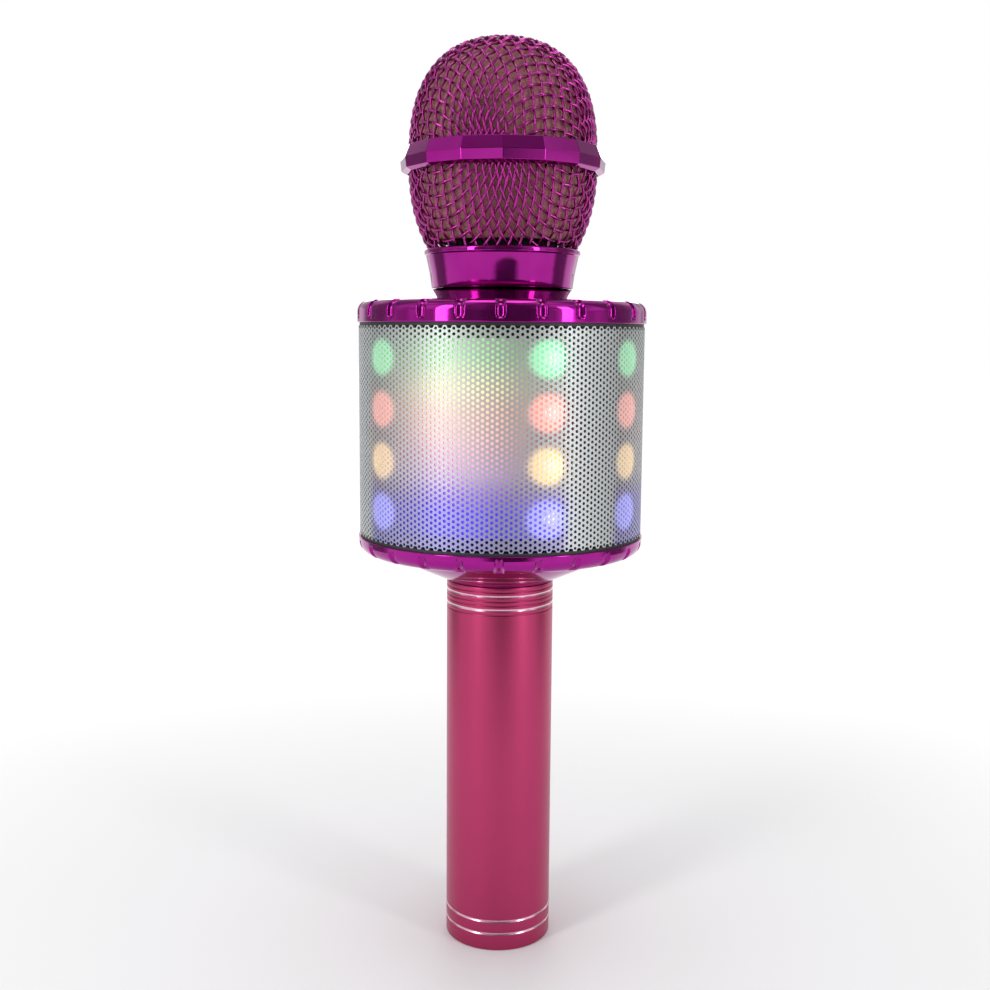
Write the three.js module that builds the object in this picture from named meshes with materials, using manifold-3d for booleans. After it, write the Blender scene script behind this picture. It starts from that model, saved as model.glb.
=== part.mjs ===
// A wireless karaoke microphone with a loudspeaker barrel between its handle and its woven head.
// Millimetres, +Z up along the microphone, origin at the centre of the handle's flat end.
// The light window faces -Y and the control panel faces +Y.
import * as THREE from "three";
import { mergeVertices } from "three/addons/utils/BufferGeometryUtils.js";
import Module from "manifold-3d";

const wasm = await Module();
wasm.setup();

// ---------------------------------------------------------------- driving dimensions
const clearance = 0.3; // between pieces that seat on or in each other
const roundSides = 36; // sides of a turned piece
const hiddenSides = 24; // sides of a turned piece inside another
const quarter = Math.PI / 2;

const handleRadius = 14.9;
const handleLength = 104;
const handleWall = 1.3;
const grooveDepth = 0.35;
const grooveWidth = 0.9;
const lowerGrooves = [4.9, 8.6]; // heights above the handle's end
const upperGrooves = [2.9, 6.6]; // depths below the handle's top
const endCapHeight = 6;
const endCapWall = 1.6;

const cellRadius = 9.2; // an 18650 cell
const cellLength = 65;
const cellRise = 4; // from the end cap's top to the cell
const padHeight = 12;
const padInset = 4; // from each end of the cell
const boardThickness = 1.6;
const cellBoardRadius = 8.5;

const barrelRadius = 39;
const spigotLength = 20; // of the lower cap, inside the handle
const spigotWall = 2.5;
const bellHeight = 7.9; // lower cap, from the handle's top to the barrel
const bellBase = 0.3; // how far the bell stands proud of the handle
const lowerRimHeight = 4.7;
const upperRimHeight = 5.8;
const lowerShoulder = 3.4;
const upperShoulder = 3.2;
const capProud = 0.4; // of the caps beyond the grille
const capWall = 1.7;
const capFloor = 2;
const seam = 0.8; // open joint between a cap and the grille
const notchCount = 24;
const notchTurn = 2.1; // degrees, of the first notch from the middle of the light window
const notchWidth = 2.3;
const notchDepth = 0.9;
const notchMargin = 1; // rim left below a notch

const grilleHeight = 56.3;
const grilleThickness = 0.8;
const grilleAir = 1.3; // from the grille to the frame behind it
const frameWall = 1.6;
const frameLip = 5.3; // width of the frame's upper flange
const frameBore = 12;
const windowHalf = 44; // degrees, half of the light window
const sideWindow = [66, 112]; // degrees from the middle of the light window
const windowMargin = 3.1; // from the grille's edge to the window
const reflectorWall = 1.4;
const reflectorSlotHalf = 7; // degrees

const ledAngles = { back_left: -38, back_right: 38, side_left: -78, side_right: 78 };
const ledRows = 4;
const ledPitch = 13.3;
const ledRise = 8.3; // from the grille's lower edge to the first LED
const ledStripWidth = 5;
const ledStripThickness = 0.9;
const ledSize = 3;
const ledHeight = 0.9;
const centerStripWidth = 11;
const lensHalf = 15; // degrees
const lensThickness = 1.6;

const panelHalf = 49; // degrees, half of the control panel with its bezel
const faceHalf = 40; // degrees, half of the face inside the bezel
const frameGapHalf = 42; // degrees, half of the frame's opening behind the face
const bezelProud = 0.3;
const faceRecess = 0.4;
const faceWall = 1.8;
const faceMargin = 4.1; // bezel height above and below the face
const panelJoint = 0.5; // between the bezel and the grille's edges

const buttonTravel = 0.4;
const buttonFlange = 0.8; // flange width
const buttonFlangeThickness = 0.9;
const buttonProud = 0.8;
const switchSize = 6;
const sideButtonX = 8.4;
const sliderX = 15;
const sliderTravel = 9; // each way from the middle
const slotWidth = 2.4;
const stemWidth = 1.6;
const stemLength = 3;
const knobWidth = 5;
const knobLength = 7;
const knobHeight = 2.5;
const potWidth = 4;
const potHeight = 2.8;
const potEnd = 5; // beyond the travel at each end
const controlRise = 31.6; // from the grille's lower edge to the middle button
const buttonSpacing = 14.5; // up and down from the middle button
const portRise = 8; // from the grille's lower edge to the sockets
const socketWall = 0.6;
const usbSocket = { x: 1.5, width: 7.8, height: 3 };
const cardSocket = { x: -10.5, width: 12, height: 2.6 };
const audioSocket = { x: 11.5, radius: 3, bore: 1.8 };
const boardHalfWidth = 19;
const postX = 16.6;
const postRadius = 2.2;
const postRise = 48.2; // from the grille's lower edge

const screwRadius = 0.9;
const screwHead = 2.1;
const screwHeadHeight = 1.1;
const capScrewCircle = 28;
const capScrewCount = 3;

const baffleRise = 26; // from the grille's lower edge
const baffleThickness = 2;
const speakerDepth = 15.7;
const speakerFlange = 2;
const speakerRim = 3.4; // width of the basket's flange
const ledgeDepth = 3.4; // from the flange to the ledge that carries the surround
const basketFloor = 1.5;
const basketBase = 14.5;
const magnetRadius = 15;
const magnetHeight = 7;
const yokeThickness = 1.7;
const poleRadius = 5.9;
const coilGap = 1.4;
const formerWall = 0.6;
const coneWall = 0.7;
const coneTravel = 0.8;
const surroundWidth = 2.6;

const neckHeight = 3.2;
const neckRadius = 19.1;
const neckFillet = 2.2;
const threadSpigotRadius = 16.2;
const threadSpigotWall = 1.8;
const threadSpigotHeight = 7.6;
const threadRingWall = 1.4;
const threadRingHeight = 6.6;

const collarHeight = 10.4;
const collarTopRadius = 21.2;
const collarLip = 1.8;
const collarLipWall = 1.2;
const headWireShell = 1.3; // two crossing wires
const basketHeight = 19.9; // from the collar's top to the band
const headRadius = 25.5;
const bandHeight = 6.8;
const bandProud = 2.25; // of the band's ridge beyond the mesh
const bandWall = 0.5; // at its thin upper edge
const domeHeight = 32.2; // from the middle of the band to the top
const domePower = 2.5; // 2 is a plain ellipse, more is squarer
const domeSteps = 7;
const foamThickness = 2;

const holderRadius = 15.8;
const holderHeight = 8.7;
const holderPlug = 4;
const capsuleRadius = 8.9;
const capsuleLength = 23;
const mountWall = 1.4;
const leadRadius = 0.9;

// ---------------------------------------------------------------- derived levels and radii
const tubeBore = handleRadius - handleWall;
const cellBase = endCapHeight + cellRise;
const cellTop = cellBase + cellLength;
const barrelBase = handleLength + bellHeight;
const lowerSeam = barrelBase + lowerRimHeight;
const grilleBase = lowerSeam + seam;
const grilleTop = grilleBase + grilleHeight;
const upperSeam = grilleTop + seam;
const barrelTop = upperSeam + upperRimHeight;
const neckTop = barrelTop + neckHeight;
const collarBase = neckTop + clearance;
const collarTop = collarBase + collarHeight;
const bandBase = collarTop + basketHeight;
const bandTop = bandBase + bandHeight;
const bandMiddle = bandBase + bandHeight / 2;
const headTop = bandMiddle + domeHeight;

const spigotRadius = tubeBore - clearance;
const spigotBore = spigotRadius - spigotWall;
const capRadius = barrelRadius + capProud;
const capBore = capRadius - capWall;
const lowerFloor = barrelBase + capFloor;
const upperCeiling = barrelTop - capFloor;
const grilleBore = barrelRadius - grilleThickness;
const frameRadius = grilleBore - grilleAir;
const frameInner = frameRadius - frameWall;
const frameBase = lowerFloor + clearance;
const frameTop = upperCeiling - clearance;
const reflectorRadius = frameInner - clearance;
const reflectorInner = reflectorRadius - reflectorWall;
const faceRadius = barrelRadius - faceRecess;
const faceInner = faceRadius - faceWall;
const depthAt = (radius, x) => Math.sqrt(radius * radius - x * x);

const boardFront = depthAt(faceInner, sliderX + potWidth / 2) - potHeight - 2 * clearance;
const boardBack = boardFront - boardThickness;
const controlMiddle = grilleBase + controlRise;
const portLevel = grilleBase + portRise;
const baffleBase = grilleBase + baffleRise;
const speakerTop = baffleBase - clearance;
const speakerBase = speakerTop - speakerDepth;
const speakerRadius = boardBack - 4 * clearance;
const coneLedge = speakerTop - ledgeDepth;
const threadSpigotTop = neckTop + threadSpigotHeight;
const threadSpigotBore = threadSpigotRadius - threadSpigotWall;
const threadRingBore = threadSpigotRadius + clearance;
const threadRingRadius = threadRingBore + threadRingWall;
const collarBore = threadRingRadius + clearance;
const bandBore = headRadius + clearance;

// ---------------------------------------------------------------- materials
const finish = (color, roughness, metalness) =>
  new THREE.MeshStandardMaterial({ color, roughness, metalness });
const platedMagenta = finish(0xb8108f, 0.12, 1);
const anodisedPink = finish(0xb83a6e, 0.38, 1);
const silverSteel = finish(0xc3c6ca, 0.4, 0.9);
const blackPlastic = finish(0x101012, 0.45, 0);
const glossBlack = finish(0x08080a, 0.12, 0);
const whitePlastic = finish(0xeeeeec, 0.5, 0);
const frostedPlastic = finish(0xf6f6f4, 0.6, 0);
const greenBoard = finish(0x1d5b38, 0.5, 0);
const zincSteel = finish(0xb6b8bb, 0.3, 1);
const greyFerrite = finish(0x33343a, 0.6, 0.2);
const blackPaper = finish(0x17171a, 0.8, 0);
const roseFoam = finish(0x9a5f5e, 0.95, 0);
const greyFoam = finish(0x55565a, 0.95, 0);
const blueSleeve = finish(0x2b56a5, 0.4, 0);
const blackRubber = finish(0x141414, 0.8, 0);
const redLead = finish(0xa32020, 0.5, 0);

// ---------------------------------------------------------------- shape tools
const at = (radius, height) => new THREE.Vector2(radius, height);
const degrees = THREE.MathUtils.degToRad;

// Points of an arc about (r, z), from one angle to another, in degrees.
function arc(r, z, radius, from, to, steps) {
  return Array.from({ length: steps + 1 }, (_, i) => {
    const angle = degrees(from + ((to - from) * i) / steps);
    return at(r + radius * Math.cos(angle), z + radius * Math.sin(angle));
  });
}

// A solid of revolution about Z from an outline of (radius, height), anticlockwise.
function turned(outline, sides = roundSides) {
  const closed = outline[0].x > 0 ? [...outline, outline[0]] : outline;
  return new THREE.LatheGeometry(closed, sides).rotateX(quarter);
}

// A straight-sided solid between two heights, from an outline in X and Y.
function raised(outline, bottom, top) {
  const shape = new THREE.Shape(outline);
  const options = { depth: top - bottom, bevelEnabled: false };
  return new THREE.ExtrudeGeometry(shape, options).translate(0, 0, bottom);
}

// A curved wall between two radii and two heights, about a middle angle in degrees from +X.
function sector(inner, outer, middle, half, bottom, top, steps) {
  const wall = arc(0, 0, outer, middle - half, middle + half, steps);
  return raised([...wall, ...arc(0, 0, inner, middle + half, middle - half, steps)], bottom, top);
}

// A box from its low corner to its high corner.
function block(x0, y0, z0, x1, y1, z1) {
  const box = new THREE.BoxGeometry(x1 - x0, y1 - y0, z1 - z0);
  return box.translate((x0 + x1) / 2, (y0 + y1) / 2, (z0 + z1) / 2);
}

// A round rod along Y, from one depth to another.
function rodY(radius, x, z, from, to, sides = 12) {
  const rod = new THREE.CylinderGeometry(radius, radius, to - from, sides);
  return rod.translate(x, (from + to) / 2, z);
}

// A round rod along Z.
function rodZ(radius, x, y, from, to, sides = 12) {
  const rod = new THREE.CylinderGeometry(radius, radius, to - from, sides).rotateX(quarter);
  return rod.translate(x, y, (from + to) / 2);
}

// A round lead along a curve through points.
function lead(points) {
  const path = new THREE.CatmullRomCurve3(points.map((p) => new THREE.Vector3(...p)));
  const section = new THREE.Shape(arc(0, 0, leadRadius, 0, 315, 7));
  const steps = Math.ceil(path.getLength() / (5 * leadRadius));
  const options = { steps, extrudePath: path, bevelEnabled: false };
  return new THREE.ExtrudeGeometry(section, options);
}

function solid(geometry) {
  const bare = geometry.index ? geometry.toNonIndexed() : geometry.clone();
  bare.deleteAttribute("normal");
  bare.deleteAttribute("uv");
  const merged = mergeVertices(bare, 1e-4);
  const vertProperties = merged.attributes.position.array;
  const triVerts = new Uint32Array(merged.index.array);
  return new wasm.Manifold(new wasm.Mesh({ numProp: 3, vertProperties, triVerts }));
}

function geometryOf(manifold) {
  const mesh = manifold.getMesh();
  const geometry = new THREE.BufferGeometry();
  geometry.setAttribute("position", new THREE.BufferAttribute(mesh.vertProperties, 3));
  geometry.setIndex(new THREE.BufferAttribute(mesh.triVerts, 1));
  geometry.computeVertexNormals();
  return geometry;
}

const cut = (body, ...tools) =>
  geometryOf(tools.reduce((rest, tool) => rest.subtract(solid(tool)), solid(body)));
const joined = (...pieces) =>
  geometryOf(pieces.slice(1).reduce((sum, piece) => sum.add(solid(piece)), solid(pieces[0])));

// ---------------------------------------------------------------- handle
// A V-groove turned into the handle at a height.
const groove = (height) => [
  at(handleRadius, height - grooveWidth / 2),
  at(handleRadius - grooveDepth, height),
  at(handleRadius, height + grooveWidth / 2),
];

function handleTube() {
  const top = handleLength - clearance;
  const heights = [...lowerGrooves, ...upperGrooves.map((d) => handleLength - d).reverse()];
  const outer = [at(handleRadius, 0), ...heights.flatMap(groove), at(handleRadius, top)];
  return turned([...outer, at(tubeBore, top), at(tubeBore, 0)]);
}

function handleEndCap() {
  const radius = tubeBore - clearance;
  return turned([
    at(0, 0),
    at(radius, 0),
    at(radius, endCapHeight),
    at(radius - endCapWall, endCapHeight),
    at(radius - endCapWall, endCapWall),
    at(0, endCapWall),
  ]);
}

const batteryCell = () =>
  turned([at(0, cellBase), at(cellRadius, cellBase), at(cellRadius, cellTop), at(0, cellTop)], hiddenSides);

function batteryPad(bottom) {
  const inner = cellRadius + clearance;
  const outer = tubeBore - clearance;
  const top = bottom + padHeight;
  const ring = [at(inner, bottom), at(outer, bottom), at(outer, top), at(inner, top)];
  return turned(ring, hiddenSides);
}

function batteryBoard() {
  const bottom = cellTop + clearance;
  return rodZ(cellBoardRadius, 0, 0, bottom, bottom + boardThickness, 16);
}

// ---------------------------------------------------------------- barrel caps
// A U-shaped slot cut into a cap's rim from outside, standing on its round end.
function notchCutter(roundEnd, openEnd) {
  const half = notchWidth / 2;
  const up = Math.sign(openEnd - roundEnd);
  const end = arc(0, roundEnd + up * half, half, 180, up > 0 ? 360 : 0, 3);
  const outline = [...end, at(half, openEnd), at(-half, openEnd)];
  const bar = new THREE.ExtrudeGeometry(new THREE.Shape(outline), {
    depth: 2 * notchDepth,
    bevelEnabled: false,
  });
  return bar.rotateX(quarter).translate(0, -(capRadius - notchDepth), 0);
}

const notches = (roundEnd, openEnd) =>
  Array.from({ length: notchCount }, (_, i) =>
    notchCutter(roundEnd, openEnd).rotateZ((i / notchCount + notchTurn / 360) * 2 * Math.PI),
  );

const capScrewSpots = Array.from({ length: capScrewCount }, (_, i) => {
  const angle = (i * 2 * Math.PI) / capScrewCount - quarter;
  return [capScrewCircle * Math.cos(angle), capScrewCircle * Math.sin(angle)];
});

// The bell's underside, from the handle out to the rim's shoulder.
const bellRadii = (share) => {
  const inner = handleRadius + bellBase;
  return inner + (capRadius - lowerShoulder - inner) * share;
};
const bellLevel = (rise) => handleLength + bellHeight * rise;
const bellSteps = [[0, 0], [0.03, 0.28], [0.09, 0.52], [0.2, 0.72], [0.45, 0.88], [1, 1]];
const screwHeadBase = bellLevel(0.88);

function lowerCap() {
  const spigotBase = handleLength - spigotLength;
  const throat = bellLevel(0.52);
  const outline = [
    at(spigotBore, spigotBase),
    at(spigotRadius, spigotBase),
    at(spigotRadius, handleLength),
    ...bellSteps.map(([share, rise]) => at(bellRadii(share), bellLevel(rise))),
    ...arc(capRadius - lowerShoulder, barrelBase + lowerShoulder, lowerShoulder, -60, 0, 2),
    at(capRadius, lowerSeam),
    at(capBore, lowerSeam),
    at(capBore, lowerFloor),
    at(capBore - 3.3, lowerFloor),
    at(bellRadii(0.45), bellLevel(0.88) + capFloor),
    at(bellRadii(0.2), bellLevel(0.72) + capFloor),
    at(spigotBore, throat),
  ];
  const screwSeat = screwHeadBase + screwHeadHeight + clearance;
  const holes = capScrewSpots.flatMap(([x, y]) => [
    rodZ(screwHead + clearance, x, y, handleLength, screwSeat),
    rodZ(screwRadius + clearance, x, y, handleLength, frameBase),
  ]);
  return cut(turned(outline), ...holes, ...notches(lowerSeam - notchMargin, barrelBase - 1));
}

function upperCap() {
  return cut(
    turned([
      at(capBore, upperSeam),
      at(capRadius, upperSeam),
      ...arc(capRadius - upperShoulder, barrelTop - upperShoulder, upperShoulder, 0, 90, 3),
      ...arc(neckRadius + neckFillet, barrelTop + neckFillet, neckFillet, -90, -180, 3),
      at(neckRadius, neckTop),
      at(threadSpigotRadius, neckTop),
      at(threadSpigotRadius, threadSpigotTop),
      at(threadSpigotBore, threadSpigotTop),
      at(threadSpigotBore, upperCeiling),
      at(capBore, upperCeiling),
    ]),
    ...notches(upperSeam + notchMargin, barrelTop + 1),
  );
}

function capScrew(x, y) {
  const seat = screwHeadBase + screwHeadHeight;
  const head = rodZ(screwHead, x, y, seat - screwHeadHeight, seat, 10);
  return joined(head, rodZ(screwRadius, x, y, seat - 0.2, frameBase + frameWall + 1, 8));
}

// ---------------------------------------------------------------- grille, frame and lights
const backAngle = -90;
const panelAngle = 90;
const panelJointHalf = THREE.MathUtils.radToDeg(panelJoint / barrelRadius);

const speakerGrille = () => {
  const half = 180 - panelHalf - panelJointHalf;
  return sector(grilleBore, barrelRadius, backAngle, half, grilleBase, grilleTop, 36);
};

function innerFrame() {
  const windowBase = grilleBase + windowMargin;
  const windowTop = grilleTop - windowMargin;
  const shell = turned([
    at(frameBore, frameBase),
    at(frameRadius, frameBase),
    at(frameRadius, frameTop),
    at(frameRadius - frameLip - frameWall, frameTop),
    at(frameRadius - frameLip - frameWall, frameTop - frameWall),
    at(frameInner, frameTop - frameWall),
    at(frameInner, frameBase + frameWall),
    at(frameBore, frameBase + frameWall),
  ]);
  const opening = (angle, half, bottom, top, steps) =>
    sector(frameInner - 1, barrelRadius, angle, half, bottom, top, steps);
  const sideHalf = (sideWindow[1] - sideWindow[0]) / 2;
  const sideMiddle = (sideWindow[1] + sideWindow[0]) / 2;
  const faceBase = grilleBase + faceMargin - 2 * clearance;
  const faceTop = grilleTop - faceMargin + 2 * clearance;
  const holes = capScrewSpots.map(([x, y]) =>
    rodZ(screwRadius + clearance, x, y, frameBase - 1, frameBase + frameWall + 1, 8),
  );
  return cut(
    shell,
    opening(backAngle, windowHalf, windowBase, windowTop, 10),
    opening(backAngle - sideMiddle, sideHalf, windowBase, windowTop, 6),
    opening(backAngle + sideMiddle, sideHalf, windowBase, windowTop, 6),
    opening(panelAngle, frameGapHalf, faceBase, faceTop, 10),
    ...holes,
  );
}

const reflectorBase = frameBase + frameWall + clearance;
const reflectorTop = frameTop - frameWall - clearance;
const ledLevels = Array.from({ length: ledRows }, (_, i) => grilleBase + ledRise + i * ledPitch);
const stripBase = ledLevels[0] - ledPitch / 3;
const stripTop = ledLevels[ledRows - 1] + ledPitch / 3;

function reflector() {
  const half = sideWindow[1];
  return cut(
    sector(reflectorInner, reflectorRadius, backAngle, half, reflectorBase, reflectorTop, 30),
    sector(
      reflectorInner - 2, reflectorRadius + 2, backAngle, reflectorSlotHalf,
      stripBase - clearance, stripTop + clearance, 2,
    ),
  );
}

const centerLens = () => {
  const inner = reflectorRadius + clearance;
  const low = grilleBase + windowMargin + clearance;
  const high = grilleTop - windowMargin - clearance;
  return sector(inner, inner + lensThickness, backAngle, lensHalf, low, high, 6);
};

// A board with a column of LEDs on its face, its back at a depth along -Y, facing -Y.
function ledStrip(back, width, angle = 0) {
  const front = back + ledStripThickness;
  const leds = ledLevels.map((z) => {
    const half = ledSize / 2;
    return block(-half, -front - ledHeight, z - half, half, -front + 0.1, z + half);
  });
  const board = block(-width / 2, -front, stripBase, width / 2, -back, stripTop);
  return joined(board, ...leds).rotateZ(degrees(angle));
}

const centerStripBack =
  depthAt(reflectorInner, centerStripWidth / 2) - clearance - ledStripThickness;

// ---------------------------------------------------------------- loudspeaker
function speakerBaffle() {
  const disc = turned([
    at(speakerRadius - 4, baffleBase),
    at(reflectorInner - clearance, baffleBase),
    at(reflectorInner - clearance, baffleBase + baffleThickness),
    at(speakerRadius - 4, baffleBase + baffleThickness),
  ]);
  const low = baffleBase - 1;
  const high = baffleBase + baffleThickness + 1;
  const reach = barrelRadius;
  const stripHalf = centerStripWidth / 2 + 2 * clearance;
  return cut(
    disc,
    block(-reach, boardBack - 2 * clearance, low, reach, reach, high),
    block(-stripHalf, -reach, low, stripHalf, clearance * 2 - centerStripBack, high),
  );
}

const coneEdgeLevel = coneLedge + clearance + coneWall;

function speakerBasket() {
  const rim = speakerRadius - speakerRim;
  const wall = speakerRim - speakerFlange;
  const bore = poleRadius + coilGap + basketFloor;
  return turned([
    at(bore, speakerBase),
    at(basketBase, speakerBase),
    at(rim + wall, coneLedge - wall),
    at(rim + wall, speakerTop - speakerFlange),
    at(speakerRadius, speakerTop - speakerFlange),
    at(speakerRadius, speakerTop),
    at(rim, speakerTop),
    at(rim, coneLedge),
    at(rim - basketFloor, coneLedge),
    at(basketBase - basketFloor, speakerBase + basketFloor),
    at(bore, speakerBase + basketFloor),
  ], hiddenSides);
}

const magnetTop = speakerBase - clearance;
const magnetBase = magnetTop - magnetHeight;

function speakerMagnet() {
  const gapOuter = poleRadius + coilGap;
  const gapBase = magnetBase + yokeThickness;
  return turned([
    at(0, magnetBase),
    at(magnetRadius, magnetBase),
    at(magnetRadius, magnetTop),
    at(gapOuter, magnetTop),
    at(gapOuter, gapBase),
    at(poleRadius, gapBase),
    at(poleRadius, magnetTop),
    at(0, magnetTop),
  ], hiddenSides);
}

const surroundOuter = speakerRadius - speakerRim - clearance;
const surroundInner = surroundOuter - surroundWidth;
const coneEdge = surroundInner - clearance;

// The paper cone with its dust cap and the coil's former, in one piece.
function speakerCone() {
  const inner = poleRadius + (coilGap - formerWall) / 2;
  const outer = inner + formerWall;
  const coilBase = magnetBase + yokeThickness + 2 * coneTravel;
  const foot = speakerBase + basketFloor + 3.5 * coneTravel;
  const capEdge = inner * 0.6;
  return turned([
    at(0, foot + 2 * coneWall),
    at(capEdge, foot + 1.3 * coneWall),
    at(inner, foot - coneWall),
    at(inner, coilBase),
    at(outer, coilBase),
    at(outer, foot),
    at(coneEdge, coneEdgeLevel - coneWall),
    at(coneEdge, coneEdgeLevel),
    at(inner, foot + 1.6 * coneWall),
    at(capEdge, foot + 2.8 * coneWall),
    at(0, foot + 3.5 * coneWall),
  ], hiddenSides);
}

function speakerSurround() {
  return turned([
    at(surroundInner, coneEdgeLevel - coneWall),
    at(surroundOuter, coneEdgeLevel - coneWall),
    at(surroundOuter, coneEdgeLevel),
    at(surroundInner + surroundWidth / 2, coneEdgeLevel + surroundWidth / 2),
    at(surroundInner, coneEdgeLevel),
  ], hiddenSides);
}

// ---------------------------------------------------------------- control panel
const bezelBack = frameRadius + clearance;
const bezelFront = barrelRadius + bezelProud;
const faceLow = grilleBase + faceMargin;
const faceHigh = grilleTop - faceMargin;

function panelBezel() {
  const wall = sector(bezelBack, bezelFront, panelAngle, panelHalf, grilleBase, grilleTop, 14);
  const jointHalf = faceHalf + THREE.MathUtils.radToDeg(clearance / barrelRadius);
  return cut(
    wall,
    sector(
      bezelBack - 1, bezelFront + 1, panelAngle, jointHalf,
      faceLow - clearance, faceHigh + clearance, 12,
    ),
  );
}

// Buttons: their place on the panel and their radius.
const buttons = {
  power: { x: 0, z: controlMiddle + buttonSpacing, radius: 3.4 },
  play: { x: 0, z: controlMiddle, radius: 4 },
  record: { x: 0, z: controlMiddle - buttonSpacing, radius: 3.4 },
  previous: { x: sideButtonX, z: controlMiddle, radius: 3 },
  next: { x: -sideButtonX, z: controlMiddle, radius: 3 },
};
const sliders = { volume: sliderX, echo: -sliderX };

function panelFace() {
  const plate = sector(faceInner, faceRadius, panelAngle, faceHalf, faceLow, faceHigh, 14);
  const back = boardFront + clearance;
  const posts = [postX, -postX].map((x) => {
    const level = grilleBase + postRise;
    const reach = depthAt(faceInner, Math.abs(x)) + faceWall / 3;
    return rodY(postRadius, x, level, back, reach, 10);
  });
  const bores = [postX, -postX].map((x) =>
    rodY(screwRadius + clearance, x, grilleBase + postRise, back - 1, back + 3, 8),
  );
  const front = barrelRadius + 1;
  const fromInside = faceInner * Math.cos(degrees(faceHalf)) - 1;
  const buttonHoles = Object.values(buttons).map(({ x, z, radius }) =>
    rodY(radius + clearance, x, z, fromInside, front, 16),
  );
  const slotEnd = sliderTravel + stemLength / 2 + clearance;
  const slots = Object.values(sliders).map((x) =>
    block(x - slotWidth / 2, fromInside, controlMiddle - slotEnd,
      x + slotWidth / 2, front, controlMiddle + slotEnd),
  );
  const mouths = [usbSocket, cardSocket].map(({ x, width, height }) => {
    const half = width / 2 + clearance;
    const rise = height / 2 + clearance;
    return block(x - half, fromInside, portLevel - rise, x + half, front, portLevel + rise);
  });
  const audio = rodY(audioSocket.radius + clearance, audioSocket.x, portLevel, fromInside, front);
  return cut(joined(plate, ...posts), ...bores, ...buttonHoles, ...slots, ...mouths, audio);
}

function controlBoard() {
  const low = faceLow + clearance;
  const high = faceHigh - clearance;
  const board = block(-boardHalfWidth, boardBack, low, boardHalfWidth, boardFront, high);
  const holes = [postX, -postX].map((x) =>
    rodY(screwRadius + clearance, x, grilleBase + postRise, boardBack - 1, boardFront + 1, 8),
  );
  return cut(board, ...holes);
}

function boardScrew(x) {
  const level = grilleBase + postRise;
  const seat = boardBack - clearance;
  const head = rodY(screwHead, x, level, seat - screwHeadHeight, seat, 10);
  return joined(head, rodY(screwRadius, x, level, seat - 0.2, boardFront + 3, 8));
}

// The flange sits behind the face at its lowest point over the flange's width.
const flangeFront = ({ x, radius }) =>
  depthAt(faceInner, Math.abs(x) + radius + buttonFlange) - clearance;
const buttonBack = (button) => flangeFront(button) - buttonFlangeThickness;

function panelButton(button) {
  const { x, z, radius } = button;
  const front = depthAt(faceRadius, Math.abs(x)) + buttonProud;
  const back = buttonBack(button);
  const flange = rodY(radius + buttonFlange, x, z, back, back + buttonFlangeThickness, 16);
  return joined(flange, rodY(radius, x, z, back + 0.2, front, 16));
}

function tactSwitch(button) {
  const { x, z } = button;
  const half = switchSize / 2;
  const top = buttonBack(button) - buttonTravel - clearance;
  const base = boardFront + clearance;
  const shoulder = base + (top - base) * 0.6;
  const body = block(x - half, base, z - half, x + half, shoulder, z + half);
  return joined(body, rodY(half * 0.55, x, z, shoulder - 0.1, top, 10));
}

function slidePot(x) {
  const half = potWidth / 2;
  const reach = sliderTravel + potEnd;
  const base = boardFront + clearance;
  const top = base + potHeight - clearance;
  const body = block(x - half, base, controlMiddle - reach, x + half, top, controlMiddle + reach);
  const slotEnd = sliderTravel + stemLength / 2 + clearance;
  const slotHalf = stemWidth / 2 + clearance;
  return cut(body, block(x - slotHalf, top - 1.4, controlMiddle - slotEnd,
    x + slotHalf, top + 1, controlMiddle + slotEnd));
}

function sliderKnob(x) {
  const inner = Math.abs(x) - knobWidth / 2;
  const seat = depthAt(faceRadius, inner) + clearance;
  const potTop = boardFront + potHeight;
  const stem = block(x - stemWidth / 2, potTop - 1, controlMiddle - stemLength / 2,
    x + stemWidth / 2, seat + 0.5, controlMiddle + stemLength / 2);
  const half = knobWidth / 2;
  const cap = block(x - half, seat, controlMiddle - knobLength / 2,
    x + half, seat + knobHeight, controlMiddle + knobLength / 2);
  return joined(cap, stem);
}

// A socket's metal shell, open to the front, its back on the board.
function boxSocket({ x, width, height }) {
  const front = depthAt(faceRadius, Math.abs(x) + width / 2) - clearance;
  const half = width / 2;
  const rise = height / 2;
  const back = boardFront + clearance;
  return cut(
    block(x - half, back, portLevel - rise, x + half, front, portLevel + rise),
    block(x - half + socketWall, back + 2.2, portLevel - rise + socketWall,
      x + half - socketWall, front + 1, portLevel + rise - socketWall),
  );
}

function audioJack() {
  const { x, radius, bore } = audioSocket;
  const front = depthAt(faceRadius, x + radius) - clearance;
  const back = boardFront + clearance;
  return cut(
    rodY(radius, x, portLevel, back, front, 16),
    rodY(bore, x, portLevel, back + 1.5, front + 1, 12),
  );
}

// ---------------------------------------------------------------- head
const threadRing = () => {
  const top = collarBase + threadRingHeight;
  return turned([
    at(threadRingBore, collarBase),
    at(threadRingRadius, collarBase),
    at(threadRingRadius, top),
    at(threadRingBore, top),
  ]);
};

function headCollar() {
  const lipBase = collarTop - collarLip;
  const lipBore = collarTopRadius - collarLipWall;
  const shelf = collarBase + threadRingHeight + clearance;
  return turned([
    at(collarBore, collarBase),
    at(neckRadius + 0.1, collarBase),
    at(neckRadius + 0.2, collarBase + 0.7),
    at(collarTopRadius - 0.1, lipBase - 0.2),
    at(collarTopRadius, lipBase),
    at(collarTopRadius, collarTop),
    at(lipBore, collarTop),
    at(lipBore, lipBase),
    at(collarBore, shelf),
  ]);
}

const basketOuter = (share) => {
  const low = collarTopRadius;
  return low + (headRadius - low) * Math.sin(share * quarter);
};
const basketFoot = collarTopRadius - collarLipWall - clearance;

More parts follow.
